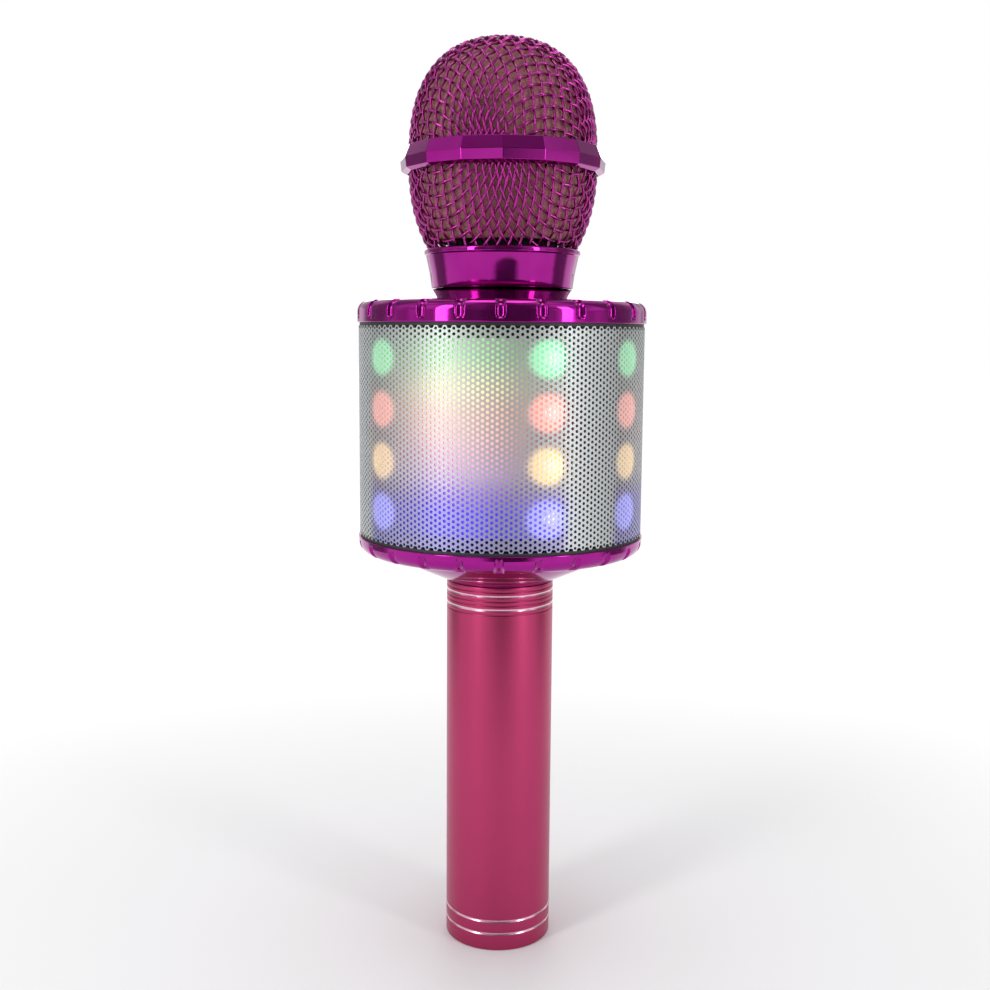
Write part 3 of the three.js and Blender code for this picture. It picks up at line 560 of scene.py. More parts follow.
def end_tree(build, geometry, material):
    """Realizes what was made, gives it its material and sends it out."""
    whole = build.node("GeometryNodeRealizeInstances", None, {0: geometry})
    dressed = build.node("GeometryNodeSetMaterial", None, {"Geometry": whole, "Material": material})
    build.node("NodeGroupOutput", None, {0: dressed})


def grow(made, tree, inputs):
    """Runs a geometry tree on an object and keeps the result as its mesh."""
    modifier = made.modifiers.new(tree.name, "NODES")
    modifier.node_group = tree
    for item in tree.interface.items_tree:
        if item.item_type == "SOCKET" and item.in_out == "INPUT" and item.name in inputs:
            modifier[item.identifier] = inputs[item.name]
    return freeze(made)


def wire_tree():
    """Round wire along every line of a mesh."""
    tree, build, given = new_tree("wire_along_lines", [
        ("Wire Radius", "Float"), ("Sides", "Int"), ("Material", "Material")])
    lines = build.node("GeometryNodeMeshToCurve", None, {0: given["Geometry"]})
    section = build.node("GeometryNodeCurvePrimitiveCircle", None, {
        "Resolution": given["Sides"], "Radius": given["Wire Radius"]})
    tube = build.node("GeometryNodeCurveToMesh", None, {
        "Curve": lines, "Profile Curve": section, "Fill Caps": True})
    soft = build.node("GeometryNodeSetShadeSmooth", None, {0: tube})
    end_tree(build, soft, given["Material"])
    return tree


def perforation_tree():
    """A staggered sheet of tiles, each with its hole, closed at its edges and bent round an axis."""
    tree, build, given = new_tree("perforated_sheet", [
        ("Tile", "Object"), ("First Column", "Int"), ("Columns", "Int"), ("Rows", "Int"),
        ("Pitch", "Float"), ("Thickness", "Float"), ("Radius", "Float"), ("Base", "Float"),
        ("Material", "Material")])
    index = build.node("GeometryNodeInputIndex")
    column = build.math("FLOOR", (index + 0.5) / given["Rows"])
    row = index - column * given["Rows"]
    column = column + given["First Column"]
    odd = build.math("GREATER_THAN", build.math("FLOORED_MODULO", column, 2.0), 0.5)
    spots = build.node("GeometryNodePoints", None, {"Count": given["Columns"] * given["Rows"]})
    x = column * given["Pitch"] * (math.sqrt(3) / 2)
    z = (row + 0.5 + odd * 0.5) * given["Pitch"] + given["Base"]
    placed = build.node("GeometryNodeSetPosition", None, {
        "Geometry": spots, "Position": build.joined(x, 0.0, z)})
    past_end = odd * build.math("GREATER_THAN", row, given["Rows"] - 1.5)
    kept = build.node("GeometryNodeDeleteGeometry", None, {0: placed, "Selection": past_end})
    tile = build.node("GeometryNodeObjectInfo", None, {"Object": given["Tile"]}, output=4)
    tiles = build.node("GeometryNodeInstanceOnPoints", None, {"Points": kept, "Instance": tile})
    flat = build.node("GeometryNodeRealizeInstances", None, {0: tiles})
    merged = build.node("GeometryNodeMergeByDistance", None, {0: flat, "Distance": 0.02 * MM})
    rim = build.node("GeometryNodeInputMeshEdgeNeighbors")
    depth = build.parts(build.node("GeometryNodeInputPosition"))[1]
    front = build.math("LESS_THAN", depth, given["Thickness"] * 0.5)
    open_front = build.math("LESS_THAN", rim, 1.5) * front
    walls = build.node("GeometryNodeExtrudeMesh", {"mode": "EDGES"}, {
        "Mesh": merged, "Selection": open_front,
        "Offset": build.joined(0.0, given["Thickness"], 0.0)})
    closed = build.node("GeometryNodeMergeByDistance", None, {0: walls, "Distance": 0.02 * MM})
    along, inward, level = build.parts(build.node("GeometryNodeInputPosition"))
    turn = along / given["Radius"]
    reach = given["Radius"] - inward
    bent = build.node("GeometryNodeSetPosition", None, {
        "Geometry": closed,
        "Position": build.joined(reach * build.math("SINE", turn),
                                 -(reach * build.math("COSINE", turn)), level)})
    end_tree(build, bent, given["Material"])
    return tree


def notch_tree():
    """Round-ended grooves pressed into the rim of a turned cap."""
    tree, build, given = new_tree("notched_rim", [
        ("Count", "Int"), ("Turn", "Float"), ("Width", "Float"), ("Depth", "Float"), ("Level End", "Float"),
        ("Upwards", "Float"), ("Inner End", "Float"), ("Material", "Material")])
    x, y, z = build.parts(build.node("GeometryNodeInputPosition"))
    radius = (x * x + y * y) ** 0.5
    turn = (build.math("ARCTAN2", x, -y) - given["Turn"]) * given["Count"] / (2 * math.pi)
    across = (turn - build.math("ROUND", turn)) * (2 * math.pi) * radius / given["Count"]
    below = build.math("MAXIMUM", (given["Level End"] - z) * given["Upwards"], 0.0)
    inside = build.math("MAXIMUM", given["Inner End"] - radius, 0.0)
    share = (across * across + below * below + inside * inside) / (given["Width"] * given["Width"] * 0.25)
    pressed = build.math("MAXIMUM", 1.0 - share, 0.0) ** 0.5 * given["Depth"]
    normal = build.node("GeometryNodeInputNormal")
    offset = build.vector("SCALE", normal)
    build.tree.links.new((-pressed).socket, offset.socket.node.inputs["Scale"])
    moved = build.node("GeometryNodeSetPosition", None, {
        "Geometry": given["Geometry"], "Offset": offset})
    end_tree(build, moved, given["Material"])
    return tree


def copies_tree():
    """A copy of a shape at every point of a mesh."""
    tree, build, given = new_tree("copies_on_points", [("Shape", "Object"), ("Material", "Material")])
    spots = build.node("GeometryNodeMeshToPoints", None, {0: given["Geometry"]})
    shape = build.node("GeometryNodeObjectInfo", None, {"Object": given["Shape"]}, output=4)
    copies = build.node("GeometryNodeInstanceOnPoints", None, {"Points": spots, "Instance": shape})
    end_tree(build, copies, given["Material"])
    return tree


# ------------------------------------------------------------------ handle
def handle_outline():
    """The tube's outline: cut rings and fine grooves in its outer face, a rounded lower edge."""
    radius = high("handle_tube").x
    bore = high("handle_end_cap").x + 0.25 * MM
    cuts = [(z, 0.40 * MM, 0.22 * MM) for z in BRIGHT_RINGS]
    cuts += [(z, 0.30 * MM, 0.18 * MM) for z in DULL_GROOVES]
    outer = [(bore, 0.0, 0.2 * MM), (radius, 0.0, 0.6 * MM)]
    for z, half, depth in sorted(cuts):
        outer += [(radius, z - half, 0.05 * MM), (radius - depth, z, 0.1 * MM),
                  (radius, z + half, 0.05 * MM)]
    outer += [(radius, HANDLE_TOP, 0.25 * MM), (bore, HANDLE_TOP, 0.2 * MM)]
    return rounded(outer, 3)


def end_cap_outline():
    """The plug in the handle's end, with a shallow ring pressed into its face."""
    radius = high("handle_end_cap").x
    top = high("handle_end_cap").z
    inner = radius - 1.6 * MM
    return [(0, 0.4 * MM)] + rounded([
        (radius * 0.72, 0.4 * MM, 0.2 * MM), (radius * 0.74, 0, 0.2 * MM), (radius, 0, 0.35 * MM),
        (radius, top, 0.2 * MM), (inner, top, 0.2 * MM), (inner, 1.6 * MM, 0.3 * MM),
    ], 3) + [(0, 1.6 * MM)]


class BuildHandle(bpy.types.Operator):
    """Make the anodised handle and the plug in its end"""

    bl_idname = "microphone.build_handle"
    bl_label = "Handle"

    def execute(self, context):
        tube = smooth(turned("handle", handle_outline(), even(FINE)))
        settle(tube, "barrel", "anodising", ["handle_tube"])
        plug = smooth(turned("handle_plug", end_cap_outline(), even(COARSE)))
        settle(plug, "barrel", "black", ["handle_end_cap"])
        return {"FINISHED"}


# ------------------------------------------------------------------ caps
def cap_angles(radius):
    """Angles round a cap, close together across each notch and wide between notches."""
    count = sizes().notch_count
    sector = 2 * math.pi / count
    half = 0.66 * sizes().notch_width / radius
    near = [half * (k / 8 - 1) for k in range(17)]
    far = [half + (sector - 2 * half) * k / 5 for k in range(1, 5)]
    start = sizes().notch_turn - math.pi / 2
    return [start + i * sector + a for i in range(count) for a in near + far]


def densely(outline, step):
    """The same outline with points no further apart than a step."""
    points = []
    for (r0, z0), (r1, z1) in zip(outline, outline[1:] + outline[:1]):
        pieces = max(1, math.ceil(math.hypot(r1 - r0, z1 - z0) / step))
        points += [(r0 + (r1 - r0) * k / pieces, z0 + (z1 - z0) * k / pieces) for k in range(pieces)]
    return points


RIM_RADIUS = high("upper_cap").x
NECK_RADIUS = 19.1 * MM
SEAM_HOLD = 0.02 * MM  # how far the black rings in the seams reach into their neighbours


def upper_cap_outline():
    """Rim, rounded shoulder, neck and threaded spigot of the upper cap."""
    base = low("upper_cap").z
    top = base + 5.8 * MM
    neck = high("head_thread_ring").z - 6.6 * MM - 0.3 * MM
    spigot = high("upper_cap").z
    shoulder = 3.2 * MM
    rim = rounded([
        (RIM_RADIUS - 1.7 * MM, base, 0.1 * MM),
        (RIM_RADIUS, base, 0.25 * MM),
        (RIM_RADIUS, top, shoulder),
        (NECK_RADIUS + 0.05 * MM, top, 3.0 * MM),
    ], 14)
    inside = rounded([
        (NECK_RADIUS, neck, 0.25 * MM),
        (16.2 * MM, neck, 0.2 * MM),
        (16.2 * MM, spigot, 0.4 * MM),
        (14.4 * MM, spigot, 0.3 * MM),
        (14.4 * MM, top - 2 * MM, 0.5 * MM),
        (RIM_RADIUS - 1.7 * MM, top - 2 * MM, 1.0 * MM),
    ], 4)
    return densely(rim, 0.32 * MM) + inside


def lower_cap_outline():
    """Spigot, bell and notched rim of the lower cap."""
    top = high("lower_cap").z
    base = top - 4.7 * MM
    foot = HANDLE_TOP + 0.3 * MM
    spigot = low("lower_cap").z
    bell = [(15.2, 0.0), (15.35, 1.1), (15.8, 2.3), (16.4, 3.3), (17.2, 4.2), (18.2, 5.05),
            (19.5, 5.75), (21.4, 6.35), (24.6, 6.95), (28.5, 7.35), (32.5, 7.68), (36.0, 7.9)]
    rim = [(r * MM, foot + rise * MM) for r, rise in bell]
    edge = rounded([
        (36.0 * MM, base, 0),
        (RIM_RADIUS - 0.1 * MM, base + 0.5 * MM, 3.4 * MM),
        (RIM_RADIUS, top, 0.25 * MM),
        (RIM_RADIUS - 1.7 * MM, top, 0.1 * MM),
    ], 14)[1:]
    inside = rounded([
        (RIM_RADIUS - 1.7 * MM, base + 2.2 * MM, 0.6 * MM),
        (24.6 * MM, base + 1.2 * MM, 0.6 * MM),
        (19.4 * MM, base - 0.1 * MM, 0.6 * MM),
        (10.8 * MM, base - 3.7 * MM, 0.3 * MM),
        (10.8 * MM, spigot, 0.3 * MM),
        (13.2 * MM, spigot, 0.4 * MM),
        (13.2 * MM, foot, 0.1 * MM),
    ], 3)
    return densely(rim + edge, 0.34 * MM) + inside


def notched_cap(name, outline, level_end, upwards, node):
    cap = smooth(turned(name, outline, cap_angles(RIM_RADIUS)), 40)
    half = sizes().notch_width / 2
    grow(cap, notch_tree(), {
        "Count": sizes().notch_count, "Turn": sizes().notch_turn, "Width": sizes().notch_width, "Depth": sizes().notch_depth,
        "Level End": level_end + upwards * half, "Upwards": upwards,
        "Inner End": RIM_RADIUS - 2.1 * MM, "Material": FINISHES["plating"],
    })
    return settle(smooth(cap, 40), "barrel", None, [node])


def thread_line():
    """The crest of the thread on the neck's spigot, as a helix."""
    low_end = low("head_thread_ring").z + 0.5 * MM
    turns, pitch, steps = 4, 1.5 * MM, 48
    count = turns * steps
    radius = 16.15 * MM
    points = [(radius * math.cos(2 * math.pi * k / steps), radius * math.sin(2 * math.pi * k / steps),
               low_end + pitch * k / steps) for k in range(count + 1)]
    return points, [(k, k + 1) for k in range(count)]


def screw_head():
    """A cross-slotted screw head, facing down from its own zero."""
    head = turned("screw_shape", rounded([
        (0.0, 0.0, 0), (1.9 * MM, 0.0, 0.35 * MM), (1.9 * MM, 1.1 * MM, 0.1 * MM), (0.0, 1.1 * MM, 0),
    ], 3), even(28))
    for turn in (0.0, math.pi / 2):
        slot = block("slot", (-1.2 * MM, -0.22 * MM, -1 * MM), (1.2 * MM, 0.22 * MM, 0.6 * MM))
        slot.data.transform(Matrix.Rotation(turn, 4, "Z"))
        carve(head, slot)
    return head


def block(name, corner, opposite):
    """A box between two corners."""
    points = [(x, y, z) for x in (corner[0], opposite[0]) for y in (corner[1], opposite[1])
              for z in (corner[2], opposite[2])]
    faces = [(0, 1, 3, 2), (4, 6, 7, 5), (0, 4, 5, 1), (2, 3, 7, 6), (0, 2, 6, 4), (1, 5, 7, 3)]
    return new_piece(name, points, faces)


def carve(made, cutter):
    """Cuts one closed mesh out of another and removes the cutter."""
    modifier = made.modifiers.new("cut", "BOOLEAN")
    modifier.operation = "DIFFERENCE"
    modifier.solver = "EXACT"
    modifier.object = cutter
    freeze(made)
    bpy.data.objects.remove(cutter)
    return made


class BuildCaps(bpy.types.Operator):
    """Make the notched caps, the neck's thread and the screws under the lower cap"""

    bl_idname = "microphone.build_caps"
    bl_label = "Caps"

    def execute(self, context):
        for name, seam_low, seam_high in (
                ("seam_upper", GRILLE_HIGH, low("upper_cap").z), ("seam_lower", high("lower_cap").z, GRILLE_LOW)):
            ring = turned(name, [(37.7 * MM, seam_low - SEAM_HOLD), (38.75 * MM, seam_low - SEAM_HOLD),
                                 (38.75 * MM, seam_high + SEAM_HOLD), (37.7 * MM, seam_high + SEAM_HOLD)],
                          even(FINE))
            settle(smooth(ring), "barrel", "black")
        notched_cap("cap_upper", upper_cap_outline(), low("upper_cap").z + 0.9 * MM, 1.0, "upper_cap")
        notched_cap("cap_lower", lower_cap_outline(), high("lower_cap").z - 0.9 * MM, -1.0, "lower_cap")
        points, edges = thread_line()
        thread = grow(new_piece("neck_thread", points, [], edges), wire_tree(), {
            "Wire Radius": 0.2 * MM, "Sides": 8, "Material": FINISHES["plating"]})
        settle(thread, "barrel", None)
        nodes = ["cap_screw_1", "cap_screw_2", "cap_screw_3"]
        spots = [(*((low(n) + high(n)) / 2)[:2], low(n).z) for n in nodes]
        shape = screw_head()
        screws = grow(new_piece("cap_screws", spots, []), copies_tree(), {
            "Shape": shape, "Material": FINISHES["zinc"]})
        bpy.data.objects.remove(shape)
        settle(smooth(screws), "barrel", None, nodes)
        return {"FINISHED"}


# ------------------------------------------------------------------ grille
def tile_shape(pitch, hole, thickness):
    """One six-sided tile of the sheet with its round hole, open at its six sides."""
    across = pitch / math.sqrt(3)
    sides = 8
    outer = [(across * math.cos(a), across * math.sin(a)) for a in even(6)]
    inner = [(hole * math.cos(a), hole * math.sin(a)) for a in even(sides, math.pi / sides)]
    work = bmesh.new()
    loops = []
    for depth in (0.0, thickness):
        loops.append([[work.verts.new((x, depth, z)) for x, z in ring] for ring in (outer, inner)])
    for (rim, mouth) in loops:
        edges = [work.edges.new((ring[k], ring[(k + 1) % len(ring)]))
                 for ring in (rim, mouth) for k in range(len(ring))]
        bmesh.ops.triangle_fill(work, use_beauty=True, edges=edges)
    front, back = loops[0][1], loops[1][1]
    for k in range(sides):
        n = (k + 1) % sides
        work.faces.new((front[k], front[n], back[n], back[k]))
    filled = [f for f in work.faces if all(v in front or v in back for v in f.verts) and len(f.verts) == 3]
    bmesh.ops.delete(work, geom=filled, context="FACES_ONLY")
    bmesh.ops.recalc_face_normals(work, faces=work.faces)
    if next(f for f in work.faces if all(v.co.y < 1e-6 for v in f.verts)).normal.y > 0:
        bmesh.ops.reverse_faces(work, faces=work.faces)
    mesh = bpy.data.meshes.new("tile_shape")
    work.to_mesh(mesh)
    work.free()
    made = bpy.data.objects.new("tile_shape", mesh)
    bpy.context.scene.collection.objects.link(made)
    return made


class BuildGrille(bpy.types.Operator):
    """Make the perforated grille, in two halves that meet in the middle of the light window"""

    bl_idname = "microphone.build_grille"
    bl_label = "Grille"

    def execute(self, context):
        radius = -low("speaker_grille").y
        rows = sizes().hole_rows
        pitch = (GRILLE_HIGH - GRILLE_LOW) / rows
        thickness = 0.6 * MM
        half_turn = math.pi - math.radians(49.4)
        columns = int(half_turn * radius / (pitch * math.sqrt(3) / 2))
        tile = tile_shape(pitch, sizes().hole_diameter / 2, thickness)
        tree = perforation_tree()
        for name, first, count in (("grille_left", -columns, columns), ("grille_right", 0, columns + 1)):
            sheet = grow(new_piece(name, [(0, 0, 0)], []), tree, {
                "Tile": tile, "First Column": first, "Columns": count, "Rows": rows, "Pitch": pitch,
                "Thickness": thickness, "Radius": radius, "Base": GRILLE_LOW,
                "Material": FINISHES["grille"]})
            nodes = ["speaker_grille"] if first else []
            settle(smooth(sheet, 50), "barrel", None, nodes)
        bpy.data.objects.remove(tile)
        return {"FINISHED"}


# ------------------------------------------------------------------ woven head
class Dome:
    """A round shell about Z: curved on the side of its pole, straight on the other side."""

    def __init__(self, radius, height, middle, power, side):
        self.radius, self.height, self.middle = radius, height, middle
        self.power, self.side = power, side

    def level(self, p):
        """Above 0 outside the shell and below 0 inside it, and its slope."""
        flat = math.hypot(p[0], p[1])
        rise = (p[2] - self.middle) * self.side / self.height
        wide = max(flat / self.radius, 1e-9)
        n = self.power
        out = wide ** n - 1
        slope_flat = n * wide ** (n - 1) / self.radius
        slope_rise = 0.0
        if rise > 0:
            out += rise ** n
            slope_rise = n * rise ** (n - 1) * self.side / self.height
        unit = (p[0] / flat, p[1] / flat) if flat > 1e-12 else (0.0, 0.0)
        return out, np.array([slope_flat * unit[0], slope_flat * unit[1], slope_rise])

    def outward(self, p):
        slope = self.level(p)[1]
        return slope / np.linalg.norm(slope)


def next_crossing(shell, first, second, corner, pitch):
    """The point of the shell one pitch from two crossings, on the far side of their own corner."""
    p = first + second - corner
    for _ in range(30):
        out, slope = shell.level(p)
        to_first, to_second = p - first, p - second
        miss = np.array([to_first @ to_first - pitch ** 2, to_second @ to_second - pitch ** 2, out])
        slopes = np.array([2 * to_first, 2 * to_second, slope])
        step = np.linalg.lstsq(slopes, miss, rcond=1e-9)[0]
        length = np.linalg.norm(step)
        p = p - step * min(1.0, 0.5 * pitch / max(length, 1e-12))
        if length < 1e-9:
            break
    good = abs(np.linalg.norm(p - first) - pitch) < 0.05 * pitch
    apart = np.linalg.norm(p - corner) > 0.12 * pitch
    return p if good and apart else None


def main_wire(shell, direction, pitch, count):
    """Crossings along the wire through the pole, one pitch apart."""
    pole = np.array([0.0, 0.0, shell.middle + shell.side * shell.height])
    points = [pole]
    heading = np.array([math.cos(direction), math.sin(direction), 0.0])
    for _ in range(count):
        p = points[-1] + heading * pitch
        across = np.array([-math.sin(direction), math.cos(direction), 0.0])
        for _ in range(30):
            out, slope = shell.level(p)
            gone = p - points[-1]
            miss = np.array([gone @ gone - pitch ** 2, p @ across, out])
            p = p - np.linalg.lstsq(np.array([2 * gone, across, slope]), miss, rcond=1e-9)[0]
        heading = (p - points[-1]) / pitch
        points.append(p)
    return points


def weave(shell, pitch, turn, count):
    """Crossings of a square mesh drawn over the shell without stretch, by place in the weave."""
    quarter = {}
    for k, p in enumerate(main_wire(shell, turn, pitch, count)):
        quarter[k, 0] = p
    for k, p in enumerate(main_wire(shell, turn + math.pi / 2, pitch, count)):
        quarter[0, k] = p
    for i in range(1, count + 1):
        for j in range(1, count + 1):
            needed = (quarter.get((i - 1, j)), quarter.get((i, j - 1)), quarter.get((i - 1, j - 1)))
            if all(p is not None for p in needed):
                quarter[i, j] = next_crossing(shell, *needed, pitch)
    crossings = {}
    for (i, j), p in quarter.items():
        if p is None:
            continue
        x, y, z = p
        for _ in range(4):
            crossings[i, j] = np.array([x, y, z])
            i, j = -j, i
            x, y = -y, x
    return crossings


def strand_points(knots, steps):
    """A smooth line through a strand's knots."""
    padded = [2 * knots[0] - knots[1], *knots, 2 * knots[-1] - knots[-2]]
    points = []
    for a, b, c, d in zip(padded, padded[1:], padded[2:], padded[3:]):
        for k in range(steps):
            t = k / steps
            points.append(0.5 * (2 * b + (c - a) * t + (2 * a - 5 * b + 4 * c - d) * t * t
                                 + (3 * b - a - 3 * c + d) * t ** 3))
    return points + [knots[-1]]


def strands(shell, crossings, lift, low_end, high_end):
    """Every wire of both directions, over and under the others, cut at two heights."""
    lines = []
    reach = max(max(abs(i), abs(j)) for i, j in crossings)
    for family in (0, 1):
        for fixed in range(-reach, reach + 1):
            run = []
            for moving in range(-reach, reach + 2):
                key = (fixed, moving) if family == 0 else (moving, fixed)
                if key in crossings:
                    over = 1 if (fixed + moving + family) % 2 else -1
                    p = crossings[key]
                    run.append(p + shell.outward(p) * lift * over)
                    continue
                if len(run) > 1:
                    lines += cut_between(strand_points(run, 6), low_end, high_end)
                run = []
    return lines


def cut_between(points, low_end, high_end):
    """The stretches of a line between two heights, each ending right at the height it crosses."""
    stretches, current = [], []
    for before, after in zip([points[0]] + points, points):
        within = low_end <= after[2] <= high_end
        was_within = low_end <= before[2] <= high_end
        if within != was_within:
            end = low_end if min(before[2], after[2]) < low_end else high_end
            share = (end - before[2]) / (after[2] - before[2])
            current.append(before + (after - before) * share)
        if within:
            current.append(after)
        elif current:
            stretches.append(current)
            current = []
    stretches.append(current)
    return [s for s in stretches if len(s) > 3]


def woven_piece(name, shell, turn, low_end, high_end, count, nodes):
    pitch, radius = sizes().wire_pitch, sizes().wire_diameter / 2
    crossings = weave(shell, pitch, turn, count)
    points, edges = [], []
    for line in strands(shell, crossings, radius, low_end, high_end):
        edges += [(len(points) + k, len(points) + k + 1) for k in range(len(line) - 1)]
        points += line
    made = grow(new_piece(name, points, [], edges), wire_tree(), {
        "Wire Radius": radius, "Sides": 7, "Material": FINISHES["wire"]})
    return settle(made, "head", None, nodes)


HEAD_RADIUS = high("dome_grille").x
HALF_SHELL = 0.72 * MM
SEAM = low("dome_grille").z
TOP = high("dome_grille").z


def dome_shell(inset):
    return Dome(HEAD_RADIUS - inset, TOP - SEAM - inset, SEAM, 2.5, 1)


def basket_shell(inset):
    return Dome(HEAD_RADIUS - inset, 34.4 * MM - inset, SEAM - 3 * MM, 2.0, -1)


class BuildWovenHead(bpy.types.Operator):
    """Make the two halves of the woven head, wire by wire"""

    bl_idname = "microphone.build_woven_head"
    bl_label = "Woven Head"

    def execute(self, context):
        woven_piece("woven_dome", dome_shell(HALF_SHELL), sizes().dome_turn,
                    SEAM + 0.1 * MM, TOP, 21, ["dome_grille"])
        woven_piece("woven_basket", basket_shell(HALF_SHELL), sizes().basket_turn,
                    high("head_collar").z - 1.4 * MM, SEAM - 0.7 * MM, 22, ["lower_basket"])
        return {"FINISHED"}


def ring_profile(shell, from_z, to_z, steps):
    """(radius, height) of a shell between two heights."""
    points = []
    for k in range(steps + 1):
        z = from_z + (to_z - from_z) * k / steps
        rise = max(0.0, (z - shell.middle) * shell.side / shell.height)
        points.append((shell.radius * max(0.0, 1 - rise ** shell.power) ** (1 / shell.power), z))
    return points


def foam_piece(name, outer, inner, node):
    """A foam lining between two profiles, with an uneven skin."""
    made = turned(name, outer + inner[::-1], even(FINE))
    for vertex in made.data.vertices:
        p = vertex.co
        flat = Vector((p.x, p.y, 0)).normalized()
        vertex.co = p + flat * noise.noise(p * 900) * 0.14 * MM + flat * noise.noise(p * 150) * 0.12 * MM
    settle(smooth(made, 60), "head", "foam", [node])
    return made


class BuildFoam(bpy.types.Operator):
    """Make the foam linings of the head"""

    bl_idname = "microphone.build_foam"
    bl_label = "Foam"

    def execute(self, context):
        inset, thick = 1.75 * MM, 1.7 * MM
        base = low("dome_foam").z + 0.1 * MM
        profiles = []
        for depth in (inset, inset + thick):
            shell = dome_shell(depth)
            curve = []
            for k in range(41):
                a = math.pi / 2 * k / 40
                share = 2 / shell.power
                curve.append((shell.radius * math.cos(a) ** share if k < 40 else 0.0,
                              base + (shell.middle + shell.height - base) * math.sin(a) ** share))
            profiles.append(curve)
        foam_piece("foam_dome", *profiles, "dome_foam")
        span = (low("basket_foam").z + 0.1 * MM, high("basket_foam").z - 0.1 * MM)
        outer = ring_profile(basket_shell(inset), *span, 24)
        inner = ring_profile(basket_shell(inset + thick), *span, 24)
        foam_piece("foam_basket", outer, inner, "basket_foam")
        return {"FINISHED"}


# ------------------------------------------------------------------ collar and band
def collar_outline():
    """The collar: flared side, a raised lip at its top, a bore for the threaded ring."""
    base, top = low("head_collar").z, high("head_collar").z
    radius = high("head_collar").x
    lip = 1.5 * MM
    shelf = high("head_thread_ring").z + 0.3 * MM
    bore = high("head_thread_ring").x + 0.25 * MM
    return rounded([
        (bore, base, 0.1 * MM),
        (19.2 * MM, base, 0.3 * MM),
        (19.75 * MM, base + 4.0 * MM, 3.0 * MM),
        (radius - 0.45 * MM, top - lip - 0.15 * MM, 0.15 * MM),
        (radius, top - lip + 0.1 * MM, 0.45 * MM),
        (radius, top, 0.55 * MM),
        (radius - 1.2 * MM, top, 0.3 * MM),
        (radius - 1.2 * MM, top - 1.8 * MM, 0.2 * MM),
        (bore, shelf, 0.2 * MM),
    ], 6)


def band_outline():
    """The band: a slanted upper flat, an upright lower flat and a lip turned under."""
    base, top = low("head_band").z, high("head_band").z
    radius = high("head_band").x
    bore = HEAD_RADIUS + 0.25 * MM
    return [
        (bore, base),
        (radius - 1.7 * MM, base),
        (radius - 0.35 * MM, base + 0.75 * MM),
        (radius - 0.05 * MM, base + 3.4 * MM),
        (bore + 0.55 * MM, top),
        (bore, top),
    ]


def soften(made, width, segments=3, limit=25.0):
    """Bevels the edges that are sharper than a limit, in degrees."""
    modifier = made.modifiers.new("soft_edges", "BEVEL")
    modifier.width = width
    modifier.segments = segments
    modifier.limit_method = "ANGLE"
    modifier.angle_limit = math.radians(limit)
    modifier.harden_normals = True
    made.data.polygons.foreach_set("use_smooth", [True] * len(made.data.polygons))
    return freeze(made)


class BuildCollarAndBand(bpy.types.Operator):
    """Make the collar below the woven head and the faceted band round it"""

    bl_idname = "microphone.build_collar"
    bl_label = "Collar and Band"

    def execute(self, context):
        collar = smooth(turned("collar", collar_outline(), even(FINE)), 45)
        settle(collar, "head", "plating", ["head_collar"])
        facets = sizes().band_facets
        start = math.radians(17.5 - 90)
        band = soften(turned("band", band_outline(), even(facets, start)), 0.22 * MM, 3, 8.0)
        settle(band, "head", "plating", ["head_band"])
        ring = smooth(turned("thread_ring", rounded([
            (16.5 * MM, low("head_thread_ring").z, 0.2 * MM),
            (high("head_thread_ring").x, low("head_thread_ring").z, 0.2 * MM),
            (high("head_thread_ring").x, high("head_thread_ring").z, 0.2 * MM),
            (16.5 * MM, high("head_thread_ring").z, 0.2 * MM),
        ], 2), even(COARSE)))
        settle(ring, "head_thread", "black", ["head_thread_ring"])
        return {"FINISHED"}


# ------------------------------------------------------------------ control panel
BEZEL_FRONT = high("panel_bezel").y
FACE_FRONT = high("panel_face").y


def round_the_barrel(made, radius):
    """Bends a flat piece round the barrel on the panel's side: X goes round, Y is the depth."""
    for vertex in made.data.vertices:
        x, y, z = vertex.co
        reach = radius + y
        vertex.co = (reach * math.sin(x / radius), reach * math.cos(x / radius), z)
    face_outwards(made.data)
    return made


def rectangle(width, low_end, high_end, corner):
    """A loop round a rectangle with rounded corners, with many points along its long sides."""
    half = width / 2
    middles = [(half - corner, high_end - corner, 0), (-half + corner, high_end - corner, 90),
               (-half + corner, low_end + corner, 180), (half - corner, low_end + corner, 270)]
    loop = []
    for i, (x, z, start) in enumerate(middles):
        arc = [(x + corner * math.cos(math.radians(start + 15 * k)),
                z + corner * math.sin(math.radians(start + 15 * k))) for k in range(7)]
        following = middles[(i + 1) % 4]
        end = (following[0] + corner * math.cos(math.radians(following[2])),
               following[1] + corner * math.sin(math.radians(following[2])))
        last = arc[-1]
        side = [(last[0] + (end[0] - last[0]) * k / 28, last[1] + (end[1] - last[1]) * k / 28)
                for k in range(1, 28)]
        loop += arc + side
    return loop


def ring_between(name, outer, inner, section):
    """A closed ring between two loops, its section given as (share of the way in, depth)."""
    count = len(outer)
    points = []
    for share, depth in section:
        points += [(ox + (ix - ox) * share, depth, oz + (iz - oz) * share)
                   for (ox, oz), (ix, iz) in zip(outer, inner)]
    faces = []
    for s in range(len(section)):
        following = (s + 1) % len(section)
        for k in range(count):
            n = (k + 1) % count
            faces.append((s * count + k, s * count + n, following * count + n, following * count + k))
    return new_piece(name, points, faces)


